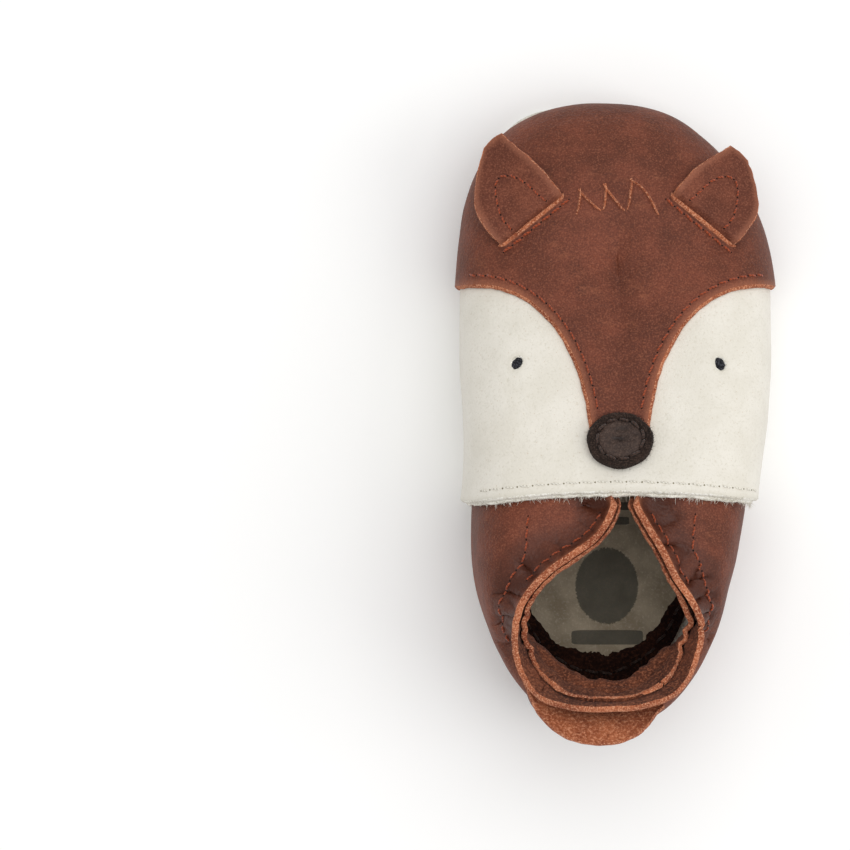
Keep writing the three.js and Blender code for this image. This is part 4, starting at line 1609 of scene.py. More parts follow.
@dataclass
class Sole:
    """Suede outsole, printed insole, the seam allowance turned in over it, and its seam."""

    thick: float = 1.4
    insole_low: float = 1.7
    insole_high: float = 3.2
    allowance: float = 5.0
    around: int = 320

    def rings(self, rows: Sequence[tuple[float, float]], out: Callable[[Array], Array]) -> Array:
        """Rings round the sole.

        Args:
            rows: share of each spoke's reach, and height.
            out: how far the full outline is moved out along the spokes, from u.

        Returns:
            Points by ring: spine point plus the share of the way to the outline.
        """
        u = np.arange(self.around) / self.around
        sx, sy, wx, wy = LAST.spoke(u, 0.0)
        reach = np.hypot(wx, wy)
        full = 1 + out(u) / reach
        share = np.array([r for r, _ in rows])[:, None]
        x, y = sx + share * full * wx, sy + share * full * wy
        z = np.broadcast_to(np.array([z for _, z in rows])[:, None], x.shape)
        return np.stack([x, y, z], 2)

    def slab(
        self, rows: Sequence[tuple[float, float]], out: Callable[[Array], Array], bump: float, seed: int
    ) -> Shape:
        """A closed slab from rings that run from the spine over the edge and back under.

        Args:
            rows: share of the way out, and height, of each ring.
            out: how far out the rings reach at each turn.
            bump: height of the unevenness.
            seed: number of the noise.

        Returns:
            The slab.
        """
        ring = self.rings(rows, out)
        points = ring.reshape(-1, 3)
        inner = np.repeat(np.array([r for r, _ in rows]) < 0.97, self.around)
        above = points[:, 2] > 0.6 * rows[0][1]
        points[:, 2] += bump * noise(points * [1, 1, 0], 7.0, seed) * above * inner
        _, first, back = np.unique(np.round(points, 4), axis=0, return_index=True, return_inverse=True)
        back = back.reshape(-1)
        faces = back[grid_faces(len(rows), self.around, True)][:, ::-1]
        return Shape(points[first], [(faces, 0)])

    def build(self) -> None:
        """Makes the four pieces."""
        half = self.thick / 2
        shares = [0.0, 0.3, 0.6, 0.85, 0.97]
        turn = np.linspace(0, np.pi, 9)

        def foot(u: Array) -> Array:
            """The upper's foot with a margin, and a little more at the outer toe.

            Args:
                u: turns round the last.

            Returns:
                How far out the foot reaches at each turn.
            """
            _, sy, _, wy = LAST.spoke(u, 0.0)
            front = smooth((sy + wy + 30) / 25)
            return 1.2 + 3.65 * front + 2.9 * bell(u, 0.55, 0.05)

        edge = [(1 + 0.012 * math.sin(a) - 0.006, half + half * math.cos(a)) for a in turn]
        rows = [(r, self.thick) for r in shares] + edge + [(r, 0.0) for r in shares[::-1]]
        item = MAKER.piece("sole_suede", self.slab(rows, foot, 0.0, 1), [Finish.SOLE.made])
        settle(item, "shoe", "sole_suede", "outsole")
        low, high = self.insole_low, self.insole_high
        rows = [(r, high) for r in np.linspace(0, 1, 22)] + [(1.0, low), (0.6, low), (0.0, low)]
        print_shape = self.slab(rows, lambda u: np.full_like(u, -2.7), 0.35, 2)
        item = MAKER.piece("insole_board", print_shape, [Finish.INSOLE.made])
        settle(item, "shoe", "insole_suede", "insole")
        self.allowance_piece(high)

    def allowance_piece(self, low: float) -> None:
        """A ring whose inner edge is ragged by noise, and the seam through it.

        Args:
            low: height of the foot bed that it lies on.
        """
        u = np.arange(self.around * 2) / (self.around * 2)
        sx, sy, wx, wy = LAST.spoke(u, 0.0)
        reach = np.hypot(wx, wy)
        base = np.stack([sx + wx, sy + wy, np.zeros_like(u)], 1)
        heel = smooth((-34 - base[:, 1]) / 14)
        ragged = 0.55 * noise(base, 2.2, 11) + 0.3 * noise(base, 0.9, 12)
        corner = bell(np.abs(base[:, 0] + 3.0), 18.0, 6.0) * smooth((-20 - base[:, 1]) / 14)
        wide = self.allowance + 0.6 + 2.2 * heel - 3.0 * corner + ragged
        rows = []
        section = (
            (1.0, 0.1), (1.0, 0.0), (0.75, 0.9), (0.45, 1.25), (0.12, 1.1), (0.0, 0.75), (0.05, 0.15), (0.5, 0.08)
        )
        for share, z in section:
            inset = 2.6 + (1 - share) * wide
            r = 1 - inset / reach
            lift = low + 0.12 + z + 0.18 * noise(base, 3.0, 13) * (z > 0.5)
            rows.append(np.stack([sx + r * wx, sy + r * wy, lift], 1))
        count = len(u)
        faces = grid_faces(len(rows) + 1, count, True) % (len(rows) * count)
        shape = Shape(np.vstack(rows), [(faces, 0)])
        # The allowance takes the painted shade of the near black inner leather.
        item = MAKER.piece("seam_allowance_edge", shape, [Finish.INNER_SHADED.made])
        settle(item, "shoe", "inner_suede", "seam_allowance")
        r = 1 - (2.6 + 0.5 * wide) / reach
        line = np.stack([sx + r * wx, sy + r * wy, low + 1.45 + 0 * u], 1)
        seam = Seam(2.6, 0.9, 0.26).stitches(line, np.tile([0.0, 0.0, 1.0], (len(u), 1)))
        # Painted shade: the sole seam is drawn in the dark nose thread, to stay as dark as the shade inside the
        # shoe.
        item = MAKER.piece("sole_seam", seam, [Finish.DARK.made, Finish.SHADOW.made])
        settle(item, "shoe", "nose_thread", "sole_stitching")


# ---------------------------------------------------------------- the vamp


@dataclass
class Vamp:
    """Lining, cream cheeks and brown head, with the face's seams, hem, eyes and hair."""

    pattern: Pattern = PATTERN
    lining: Drape = Drape(Layer.LINING)
    cheek: Drape = Drape(Layer.CHEEK)
    head: Drape = Drape(Layer.HEAD)
    lining_show: float = 0.7
    lap: float = 7.0

    def hem_in(self, p: Array, out: float) -> Array:
        """Distance ahead of the hem, moved back by so much."""
        return p[:, 1] - (self.pattern.hem(p[:, 0]) - out)

    def eye_in(self, p: Array) -> Array:
        """Distance outside the two eye slots: stretched ellipses, tilted like brows.

        Args:
            p: places, with x and y first.

        Returns:
            Above zero outside the slots.
        """
        best = np.full(len(p), 9.0)
        for side in (-1, 1):
            x, y = self.eye(side)
            lean = side * 0.5
            dx, dy = p[:, 0] - x, p[:, 1] - y
            a = dx * math.cos(lean) + dy * math.sin(lean)
            b = -dx * math.sin(lean) + dy * math.cos(lean)
            best = np.minimum(best, np.hypot(a / 1.2, b / 1.65) - 1)
        return best

    def eye(self, side: float) -> tuple[float, float]:
        """Middle of an eye."""
        return self.pattern.face_x + side * self.pattern.eye_spread / 2, self.pattern.eye_y

    def plain(self, drape: Drape, uv: Array) -> Array:
        """Plan points of the plain last under grid points."""
        return LAST.surface(uv[:, 0], uv[:, 1], drape.layer.outer)[:, :2]

    def build(self) -> None:
        """Makes the leathers, then what is sewn to them."""
        grid = Grid()
        d = self.lining.layer.outer
        uv, faces = grid.cut(d, lambda p, u, v: self.hem_in(p, self.lining_show))
        shape = thick(uv, faces, self.lining.place, 0.25, 0.22, 21, leather_values())
        item = MAKER.piece("vamp_lining_suede", shape, [f.made for f in (Finish.RAW_CREAM,) * 3])
        settle(item, "shoe", "lining_suede", "vamp_lining")
        self.cheeks(grid)
        self.forehead(grid)
        self.seams()
        self.eyes()
        self.hem_fuzz()

    def cheeks(self, grid: Grid) -> None:
        """The cream leather, with its eye slots cut through on a finer grid.

        Args:
            grid: the grid that the leather is cut from.
        """
        d = self.cheek.layer.outer
        fine = FineGrid(grid, [self.eye(-1), self.eye(1)], 2.6, 0.22, d)

        def inside(p: Array, u: Array, v: Array) -> Array:
            """Ahead of the hem, short of the lap under the head, and outside the eyes."""
            lap = self.lap - self.pattern.head(p[:, :2])
            return np.minimum(np.minimum(self.hem_in(p, 0.0), lap), self.eye_in(p))

        uv, faces = fine.cut(d, inside)
        edge = lambda q: np.minimum(self.hem_in(self.plain(self.cheek, q), 0.0), 9.0)
        slot = lambda q: 1.2 * np.maximum(self.eye_in(self.plain(self.cheek, q)), 0)
        values = leather_values(lambda q: np.minimum(edge(q), slot(q)))
        shape = thick(uv, faces, self.cheek.place, 0.3, 0.1, 22, values)
        finishes = [Finish.CREAM.made, Finish.RAW_CREAM.made, Finish.RAW_CREAM.made]
        item = MAKER.piece("cheeks_nubuck", shape, finishes)
        settle(item, "shoe", "cream_leather", "cheek_leather")

    def forehead(self, grid: Grid) -> None:
        """The brown leather over the toe, down the bridge to the nose.

        Args:
            grid: the grid that the leather is cut from.
        """
        d = self.head.layer.outer
        uv, faces = grid.cut(d, lambda p, u, v: self.pattern.head(p[:, :2]))
        edge = lambda q: np.maximum(self.pattern.head(self.plain(self.head, q)), 0)
        shape = thick(uv, faces, self.head.place, 0.5, 0.1, 23, leather_values(edge))
        item = MAKER.piece("head_brown", shape, [Finish.BROWN.made, Finish.FLESH.made, Finish.RAW.made])
        settle(item, "shoe", "brown_leather", "head_leather")
        self.hair()

    def hair(self) -> None:
        """Knife-cut tuft: for each cut a narrow strip with raised lips and a deep middle."""
        line = self.pattern.tuft()
        strokes = [line[i : i + 2] for i in range(5)] + [line[5:]]
        lips = []
        for k, stroke in enumerate(strokes):
            path, arc = resample(stroke, 0.35)
            ahead = unit(np.gradient(path, axis=0))
            side = np.stack([-ahead[:, 1], ahead[:, 0]], 1)
            side *= np.sign(side.mean(0) @ np.array([0.6, -0.8]))
            across = np.linspace(-0.8, 1.1, 15)
            taper = np.clip(np.minimum(arc, arc[-1] - arc) / 1.2, 0.15, 1.0) ** 0.6
            wide = across[None, :] * (0.35 + 0.65 * taper[:, None])
            plan = (path[:, None] + side[:, None] * wide[..., None]).reshape(-1, 2)
            top, normal = self.head.seam(plan)
            height = taper[:, None] * (0.5 * bell(across, 0.48, 0.28) - 0.5 * bell(across, -0.05, 0.22))
            height = (height - 0.05 * (np.abs(across - 0.15) > 0.9)).reshape(-1, 1)
            rise = top + normal * (height + 0.03)
            under = top - normal * 0.4
            rows, columns = len(path), len(across)
            n = rows * columns
            upper = grid_faces(rows, columns)
            if np.cross(ahead[0], side[0]) > 0:
                upper = upper[:, ::-1]
            rim = open_edges([upper], n)
            wall = np.stack([rim[:, 1], rim[:, 0], rim[:, 0] + n, rim[:, 1] + n], 1)
            # Painted shade: the cut value darkens the deep middle of each knife cut.
            cut = np.tile(np.clip(1.6 * bell(across, 0.0, 0.24), 0, 1), rows) * np.repeat(taper, columns)
            edge = 9 - 9 * np.tile(bell(across, 0.45, 0.35), rows)
            column = np.tile(np.arange(columns - 1), rows - 1)
            raw = (across[column] > 0.15) & (across[column] < 0.6)
            values = {"cut": np.tile(cut, 2), "edge": np.tile(edge, 2), "fold": np.zeros(2 * n)}
            groups = [(upper[~raw], 0), (upper[raw], 1), (upper[:, ::-1] + n, 0), (wall, 0)]
            lips.append(Shape(np.vstack([rise, under]), groups, values))
        item = MAKER.piece("hair_cuts", joined(lips), [Finish.BROWN.made, Finish.RAW.made])
        settle(item, "shoe", "brown_leather", "head_leather")

    def seams(self) -> None:
        """The two face seams and the hem seam."""
        inset = 1.6
        for word, side in (("left", -1.0), ("right", 1.0)):
            line = self.pattern.face_edge(side, 120)
            ahead = unit(np.gradient(line, axis=0))
            inward = np.stack([-ahead[:, 1], ahead[:, 0]], 1) * -side
            path = line + inward * inset
            path = resample(path[path[:, 1] > self.pattern.nose[1] + 6.2], 0.5)[0]
            top, normal = self.head.seam(path)
            low = top[:, 2] > 3.0
            seam = Seam(1.85, 0.5, 0.2).stitches(top[low], normal[low])
            item = MAKER.piece(f"face_seam_{word}", seam, [Finish.ORANGE.made, Finish.SHADOW.made])
            settle(item, "shoe", "orange_thread", f"face_stitching_{word}")
        x = np.linspace(-27.4, 26.6, 110)
        path = np.stack([x, self.pattern.hem(x) + 1.7], 1)
        top, normal = self.cheek.seam(path)
        seam = Seam(2.1, 0.85, 0.19, hole=0.2).stitches(top, normal)
        item = MAKER.piece("hem_seam", seam, [Finish.WHITE.made, Finish.HEM_HOLE_SHADE.made])
        settle(item, "shoe", "cream_thread", "hem_stitching")

    def eyes(self) -> None:
        """Charcoal thread behind each slot: a small dome crossed by strands."""
        for word, side in (("left", -1.0), ("right", 1.0)):
            x, y = self.eye(side)
            r, a = np.meshgrid(np.linspace(0, 1, 9), np.arange(28) / 28 * 2 * np.pi, indexing="ij")
            lean = side * 0.5
            px, py = 1.5 * r * np.cos(a), 1.95 * r * np.sin(a)
            c, s = math.cos(lean), math.sin(lean)
            plan = np.stack([x + px * c - py * s, y + px * s + py * c], 2)
            top, normal = self.cheek.seam(plan.reshape(-1, 2))
            strand = 0.14 * np.sin(7.5 * (px + 0.35 * py)).ravel()
            rise = -0.35 + strand - 0.55 * r.ravel() ** 3
            points = top + normal * rise[:, None]
            under = top - normal * 1.15
            faces = grid_faces(9, 28, True)[:, ::-1]
            n = len(points)
            last = np.arange(n - 28, n)
            skirt = np.stack([last, np.roll(last, -1), np.roll(last, -1) + n, last + n], 1)[:, ::-1]
            groups = [(faces, 0), (faces[:, ::-1] + n, 0), (skirt, 0)]
            shape = welded(Shape(np.vstack([points, under]), groups))
            item = MAKER.piece(f"eye_thread_{word}", shape, [Finish.CHARCOAL.made])
            settle(item, "shoe", "eye_thread", f"eye_{word}")

    def hem_fuzz(self) -> None:
        """White fibres along the lining's edge."""
        x = np.linspace(-27.5, 27.5, 80)
        plan = np.stack([x, self.pattern.hem(x) - self.lining_show], 1)
        top, normal = self.lining.seam(plan)
        out = np.tile([0.0, -1.0, 0.0], (len(x), 1)) + 0.25 * normal
        shape = hairs(top - normal * 0.45, out, 620, 1.5, 0.55, 31)
        item = MAKER.piece("hem_fibres", shape, [Finish.RAW_CREAM.made])
        settle(item, "shoe", "lining_suede", "vamp_lining")


def welded(shape: Shape) -> Shape:
    """Merges points that lie together and drops faces that have fallen flat.

    Args:
        shape: the surface.

    Returns:
        The mended surface.
    """
    _, first, back = np.unique(np.round(shape.points, 4), axis=0, return_index=True, return_inverse=True)
    back = back.reshape(-1)
    faces = [(g, slot) for f, slot in shape.faces for g in cleaned([back[f]])]
    return Shape(shape.points[first], faces, {k: v[first] for k, v in shape.values.items()})


@dataclass
class FineGrid(Grid):
    """The grid with extra lines across small details."""

    coarse: Grid = field(default_factory=Grid)
    spots: Sequence[tuple[float, float]] = ()
    reach: float = 2.5
    step: float = 0.25
    depth: float = 5.5

    def __init__(
        self, coarse: Grid, spots: Sequence[tuple[float, float]], reach: float, step: float, depth: float
    ) -> None:
        """Keeps the coarse grid and where it is refined."""
        super().__init__(coarse.around, coarse.up, coarse.low)
        self.spots, self.reach, self.step, self.depth = spots, reach, step, depth

    def lines(self) -> tuple[Array, Array]:
        """Coarse lines, thinned to make way for close ones over each spot.

        Returns:
            Turns, and ways up.
        """
        us, vs = super().lines()
        for x, y in self.spots:
            ring = np.linspace(0, 2 * np.pi, 24)
            u, v = LAST.under(x + self.reach * np.cos(ring), y + self.reach * np.sin(ring), self.depth)
            u = np.mod(u, 1.0)
            count = int(2 * self.reach / self.step)
            us, vs = filled(us, u.min(), u.max(), count), filled(vs, v.min(), v.max(), count)
        return us, vs


def filled(lines: Array, low: float, high: float, count: int) -> Array:
    """Lines with an even stretch of count put in from low to high.

    Args:
        lines: values, in order.
        low: lower end.
        high: upper end.
        count: how many steps are put in.

    Returns:
        The lines with the new ones, in order.
    """
    gap = (high - low) / count
    rest = lines[(lines < low - gap / 2) | (lines > high + gap / 2)]
    return np.sort(np.concatenate([rest, np.linspace(low, high, count + 1)]))


@dataclass
class Nose:
    """Thick felted oval with a seam sunk round it and a creased middle."""

    pattern: Pattern = PATTERN
    width: float = 13.2
    length: float = 11.0
    inset: float = 1.75
    thick: float = 1.35
    head: Drape = Drape(Layer.HEAD)

    def at(self, r: Array, a: Array) -> tuple[Array, Array, Array]:
        """Plan points and their distance in from the rim.

        Args:
            r: shares of the way out to the rim.
            a: angles round the middle.

        Returns:
            Plan places, distances in from the rim, and the same places about the middle.
        """
        x, y = self.pattern.nose
        wobble = 1 + 0.012 * np.sin(3 * a + 0.5) + 0.01 * np.sin(7 * a)
        px, py = r * wobble * self.width / 2 * np.cos(a), r * wobble * self.length / 2 * np.sin(a)
        inset = (1 - r) * (self.width + self.length) / 4
        return np.stack([x + px, y + py], -1), inset, np.stack([px, py, np.zeros_like(px)], -1)

    def build(self) -> None:
        """Makes the patch, its seam and its fibres."""
        rows = np.concatenate([np.linspace(0, 0.93, 34), [0.955, 0.975, 0.99, 1.0, 1.003]])
        around = 150
        r, a = np.meshgrid(rows, np.arange(around) / around * 2 * np.pi, indexing="ij")
        plan, inset, local = self.at(r, a)
        top, normal = self.head.seam(plan.reshape(-1, 2))
        q = local.reshape(-1, 3)
        flat = inset.ravel()
        crease = noise(q * [0.28, 1.3, 1], 1.15, 41) * 0.24 + noise(q * [0.5, 1.6, 1], 0.6, 42) * 0.08
        middle = smooth((flat - 2.2) / 0.7)
        groove = -0.3 * bell(flat, self.inset, 0.42)
        felt = 0.1 * noise(q, 0.55, 43) * (1 - middle)
        edge = np.clip(flat / 0.42, 0, 1)
        round_over = np.sqrt(1 - (1 - edge) ** 2)
        height = self.thick * (0.25 + 0.75 * round_over) + 0.16 * smooth(flat / 4)
        height = height + groove + crease * middle + felt
        fuzz = 0.14 * noise(q, 0.5, 44) * (flat < 0.5)
        outward = unit(q + 1e-9)
        points = top + normal * height[:, None] + outward * fuzz[:, None]
        under = top - normal * 0.05
        n = len(points)
        faces = grid_faces(len(rows), around, True)[:, ::-1]
        last = np.arange(n - around, n)
        after = np.roll(last, -1)
        wall = np.stack([last, after, after + n, last + n], 1)
        ring = np.repeat(np.arange(len(rows) - 1), around)
        centre = (rows[ring] < 1 - 2.25 / 6.05)
        groups = [(faces[centre], 0), (faces[~centre], 1), (wall[:, ::-1], 1), (faces[:, ::-1] + n, 1)]
        # Painted shade: the fold value darkens the nose leather in the valleys of its creases.
        fold = np.tile(np.clip(-crease * 5, 0, 1) * middle, 2)
        values = {"fold": fold, "cut": np.zeros(2 * n), "edge": np.full(2 * n, 9.0)}
        shape = welded(Shape(np.vstack([points, under]), [(f, s) for f, s in groups], values))
        item = MAKER.piece("nose", shape, [Finish.NOSE.made, Finish.FELT.made], 80)
        settle(item, "shoe", "nose_leather", "nose_patch")
        a = np.linspace(0, 2 * np.pi, 120)
        share = np.full_like(a, 1 - self.inset / 6.05)
        plan, _, _ = self.at(share, a)
        top, normal = self.head.seam(plan)
        seam = Seam(1.9, 0.45, 0.28).stitches(top + normal * (self.thick - 0.15), normal)
        item = MAKER.piece("nose_seam", seam, [Finish.DARK.made, Finish.SHADOW.made])
        settle(item, "shoe", "nose_thread", "nose_stitching")
        plan, _, local = self.at(np.full_like(a, 0.99), a)
        top, normal = self.head.seam(plan)
        shape = hairs(top + normal * 0.8, unit(local), 330, 0.75, 0.6, 32)
        item = MAKER.piece("nose_fibres", shape, [Finish.FELT.made])
        settle(item, "shoe", "nose_leather", "nose_patch")


# ---------------------------------------------------------------- the back


@dataclass
class Back:
    """Quarter, facing and elastic round the foot opening, with their seams."""

    pattern: Pattern = PATTERN
    quarter: Drape = Drape(Layer.QUARTER, True)
    facing: Drape = Drape(Layer.FACING, True)
    lap: float = 8.0
    facing_low: float = 25.0
    stitched_to: float = -30.0

    def casing(self, base: Array) -> Array:
        """How far points lie above the casing seam, which drops away round the heel.

        Args:
            base: points on the plain last.

        Returns:
            Above zero in the gathered band.
        """
        _, arc, spot = nearest(base[:, :2], OPENING.line)
        drop = np.interp(arc, OPENING.arc, OPENING.height) - base[:, 2]
        return self.pattern.casing(spot[:, 1]) - drop

    def fold(self, base: Callable[[Array], Array]) -> Callable[[Array], Array]:
        """Darkness of the gathered band: all above the casing seam, with painted shade added in its creases.

        Args:
            base: gives points on the plain last.

        Returns:
            A function of grid places that gives the darkness.
        """

        def value(q: Array) -> Array:
            """The band and its creases at grid points."""
            band, valleys = OPENING.creases(base(q))
            return smooth((self.casing(base(q)) + 0.6) / 1.2) * 0.62 + 0.38 * np.clip(band * valleys, 0, 1)

        return value

    def build(self) -> None:
        """Makes the leathers, then the seams."""
        grid = Grid(520, 84)
        front = self.pattern.hem_y + self.lap
        d = self.quarter.layer.outer
        uv, faces = grid.cut(d, lambda p, u, v: np.minimum(front - p[:, 1], OPENING.inside(p[:, :2], 1.0)))
        base = lambda q: LAST.surface(q[:, 0], q[:, 1], d)
        values = leather_values(lambda q: np.maximum(OPENING.inside(base(q)[:, :2], 1.0), 0))
        values["fold"] = self.fold(base)
        shape = thick(uv, faces, self.quarter.place, 0.1, 0.12, 24, values)
        item = MAKER.piece("quarter_brown", shape, [Finish.BROWN.made, Finish.FLESH.made, Finish.RAW.made])
        settle(item, "shoe", "brown_leather", "quarter")
        d = self.facing.layer.outer
        inner = lambda p, u, v: np.minimum(
            np.minimum(front - p[:, 1], OPENING.inside(p[:, :2], 0.0)), p[:, 2] - self.facing_low
        )
        uv, faces = grid.cut(d, inner)
        shape = thick(uv, faces, self.facing.place, 0.1, 0.12, 25, leather_values())
        item = MAKER.piece("facing_suede", shape, [Finish.FLESH.made, Finish.FLESH.made, Finish.RAW.made])
        settle(item, "shoe", "inner_suede", "collar_facing")
        self.elastic()
        self.seams()
        self.fuzz()

    def hang(self, share: float, step: float = 1.0) -> tuple[Array, Array]:
        """Turns and heights of a line that hangs between the collar edge and the casing seam.

        Args:
            share: of the way down to the casing seam.
            step: spacing.

        Returns:
            u and v on the quarter, for the part of the edge that the vamp leaves clear.
        """
        line = resample(OPENING.line, step)[0]
        line = line[line[:, 1] < self.pattern.hem_y - 3.9]
        arc = nearest(line, OPENING.line)[1]
        height = np.interp(arc, OPENING.arc, OPENING.height) - share * self.pattern.casing(line[:, 1])
        u, _ = LAST.under(line[:, 0], line[:, 1], 2.5)
        return u, LAST.v_at(u, height, 2.5)

    def elastic(self) -> None:
        """A narrow band inside the casing."""
        u, low = self.hang(0.95)
        _, high = self.hang(0.6)
        rows = np.linspace(0, 1, 9)[:, None]
        v = low + (high - low) * rows
        turns = np.broadcast_to(u, v.shape)
        under = self.facing.place(turns.ravel(), v.ravel(), 1.0)
        over = self.quarter.place(turns.ravel(), v.ravel(), 0.0)
        points = np.vstack([under + 0.75 * (over - under), under + 0.25 * (over - under)])
        n = len(points) // 2
        upper = grid_faces(9, len(u))
        rim = open_edges([upper], n)
        wall = np.stack([rim[:, 1], rim[:, 0], rim[:, 0] + n, rim[:, 1] + n], 1)
        shape = Shape(points, [(upper, 0), (upper[:, ::-1] + n, 0), (wall, 0)])
        item = MAKER.piece("elastic_band", shape, [Finish.ELASTIC.made])
        settle(item, "shoe", "elastic", "collar_elastic")

    def seams(self) -> None:
        """The casing seam and the seam close to the collar edge."""
        u, v = self.hang(1.0, 0.6)
        top, normal = self.quarter.lay(u, v)
        seam = Seam(1.9, 0.6, 0.2).stitches(top, normal)
        item = MAKER.piece("casing_seam", seam, [Finish.ORANGE.made, Finish.SHADOW.made])
        settle(item, "shoe", "orange_thread", "casing_stitching")
        line = resample(OPENING.line, 0.6)[0]
        ahead = unit(np.gradient(line, axis=0))
        path = line + np.stack([ahead[:, 1], -ahead[:, 0]], 1) * 3.2
        seams = []
        for side in (-1.0, 1.0):
            keep = (path[:, 1] < self.pattern.hem_y - 3.2) & (path[:, 1] > self.stitched_to)
            keep &= side * (path[:, 0] - self.pattern.face_x) > 0
            arc = nearest(line[keep], OPENING.line)[1]
            floor = np.interp(arc, OPENING.arc, OPENING.height) - 2.4
            u, v = LAST.under(path[keep, 0], path[keep, 1], 2.5)
            v = np.maximum(v, LAST.v_at(u, floor, 2.5))
            seams.append(Seam(1.9, 0.6, 0.18).stitches(*self.quarter.lay(u, v)))
        item = MAKER.piece("collar_seam", joined(seams), [Finish.ORANGE.made, Finish.SHADOW.made])
        settle(item, "shoe", "orange_thread", "collar_stitching")

    def fuzz(self) -> None:
        """Brown fibres along both raw edges."""
        line = resample(OPENING.line, 1.0)[0]
        line = line[line[:, 1] < self.pattern.hem_y - 1.0]
        shapes = []
        for drape, out, seed in ((self.quarter, 1.05, 33), (self.facing, 0.05, 34)):
            ahead = unit(np.gradient(line, axis=0))
            path = line + np.stack([ahead[:, 1], -ahead[:, 0]], 1) * out
            top, normal = drape.seam(path)
            way = np.tile([0.0, 0.0, 1.0], (len(path), 1)) * 0.6
            shapes.append(hairs(top - normal * 0.5, way + 0.2 * normal, 420, 0.8, 0.8, seed))
        item = MAKER.piece("collar_fibres", joined(shapes), [Finish.RAW.made])
        settle(item, "shoe", "inner_suede", "collar_facing")


@dataclass
class HeelTab:
    """The free upper edge of the heel leather, which leans back from the collar."""

    width: float = 30.4
    shift: float = -2.7
    low: float = 34.0
    fold: float = 41.0
    thickness: float = 1.1
    depth: float = 3.95

    def path(self, t: Array) -> tuple[Array, Array]:
        """Height and lean along the tab, from its hidden root to its edge, by interpolation.

        Args:
            t: share of the way, 0 to 1.

        Returns:
            Heights and leans.
        """
        knots = np.array([0.0, 0.2, 0.42, 0.56, 0.76, 1.0])
        lean = np.array([0.0, -0.6, -3.4, -4.3, -2.6, 1.5])
        rise = np.array([34.0, 37.4, 41.0, 43.0, 46.0, 48.8])
        return smooth_curve(knots, rise, t), smooth_curve(knots, lean, t)

    def place(self, s: Array, t: Array, share: float) -> Array:
        """A point of the tab.

        Args:
            s: across, -1 to 1.
            t: up, 0 to 1.
            share: through the thickness, 1 on the grain face.

        Returns:
            The wall point behind, moved along its spoke by the lean. The edge's height
            falls away to the sides by a superellipse.
        """
        x = float(LAST.middle(np.array([LAST.heel]))[0]) + self.shift + self.width / 2 * s
        power = np.where(s < 0, 1.9, 2.3)
        bow = np.clip(1 - np.abs(s) ** power, 0, 1) ** np.where(s < 0, 0.75, 1.15)
        z, lean = self.path(t)
        top = self.fold + (z - self.fold) * (0.3 + 0.7 * bow)
        z = np.where(z > self.fold, top, z)
        d = self.depth
        u = turn_at(x, d)
        sx, sy, wx, wy = LAST.spoke(u, d)
        reach = np.hypot(wx, wy)
        wall = LAST.surface(u, LAST.v_at(u, np.full_like(s, self.low), d), d)
        pinch = (1 - bow) * smooth((t - 0.45) / 0.55)
        wave = 0.35 * noise(np.stack([x, t * 6, 0 * x], -1), 6.0, 51) * smooth((t - 0.4) / 0.3)
        sink = 3.0 * np.clip((np.abs(s) - 0.7) / 0.3, 0, 1) ** 2 * (1 - pinch)
        out = lean * (1 - pinch) - 2.2 * pinch - sink + wave + (share - 0.5) * self.thickness * 0.75
        away = np.stack([wx, wy], -1) / reach[:, None]
        slope = np.clip((t - 0.55) * 2, 0, 1)
        point = wall.copy()
        point[:, :2] += away * out[:, None]
        point[:, 2] = z - (share - 0.5) * self.thickness * 0.7 * slope
        return point

    def build(self) -> None:
        """Makes the tab."""
        s = np.linspace(-1, 1, 61)
        t = np.concatenate([np.linspace(0, 0.95, 30), [0.98, 1.0]])
        gs, gt = (a.ravel() for a in np.meshgrid(s, t, indexing="ij"))
        uv = np.stack([gs, gt], 1)
        faces = [grid_faces(len(s), len(t))[:, ::-1]]
        values = leather_values(lambda q: 6 * (1 - q[:, 1]))
        shape = thick(uv, faces, lambda a, b, k: self.place(a, b, k), 0.35, 0.16, 26, values)
        # The tab's flesh side takes the painted light of the lighter suede copy.
        finishes = [Finish.BROWN.made, Finish.TAB_FLESH_LIT.made, Finish.RAW.made]
        item = MAKER.piece("heel_tab_leather", shape, finishes)
        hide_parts("heel_tab")
        y = -61.3 + LAST.shift[1]
        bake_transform(item, "shoe", "tab", start=(0.0, y * MM, 40.6 * MM), end=(0.0, y * MM, 43.4 * MM))
        LOG.info("%s: %d faces bending from shoe to tab", item.name, len(item.data.polygons))


def smooth_curve(knots: Array, values: Array, t: Array) -> Array:
    """Cubic Hermite curve through values at knots, with central slopes.

    Args:
        knots: where the values are known.
        values: what they are there.
        t: share of the way, 0 to 1.

    Returns:
        One value for each share.
    """
    slopes = np.gradient(values, knots)
    k = np.clip(np.searchsorted(knots, t, side="right") - 1, 0, len(knots) - 2)
    h = knots[k + 1] - knots[k]
    q = (t - knots[k]) / h
    a, b = values[k], values[k + 1]
    first = (2 * q**3 - 3 * q**2 + 1) * a + (q**3 - 2 * q**2 + q) * h * slopes[k]
    return first + (3 * q**2 - 2 * q**3) * b + (q**3 - q**2) * h * slopes[k + 1]


def turn_at(x: Array, d: float) -> Array:
    """The turn near the heel at which the widest line has a given x, by bisection.

    Args:
        x: place across the shoe.
        d: distance grown out from the last.

    Returns:
        The turn.
    """
    low, high = np.full_like(x, -0.2), np.full_like(x, 0.2)
    for _ in range(40):
        mid = (low + high) / 2
        sx, _, wx, _ = LAST.spoke(mid, d)
        high, low = np.where(sx + wx > x, mid, high), np.where(sx + wx > x, low, mid)
    return low


# ---------------------------------------------------------------- the ears


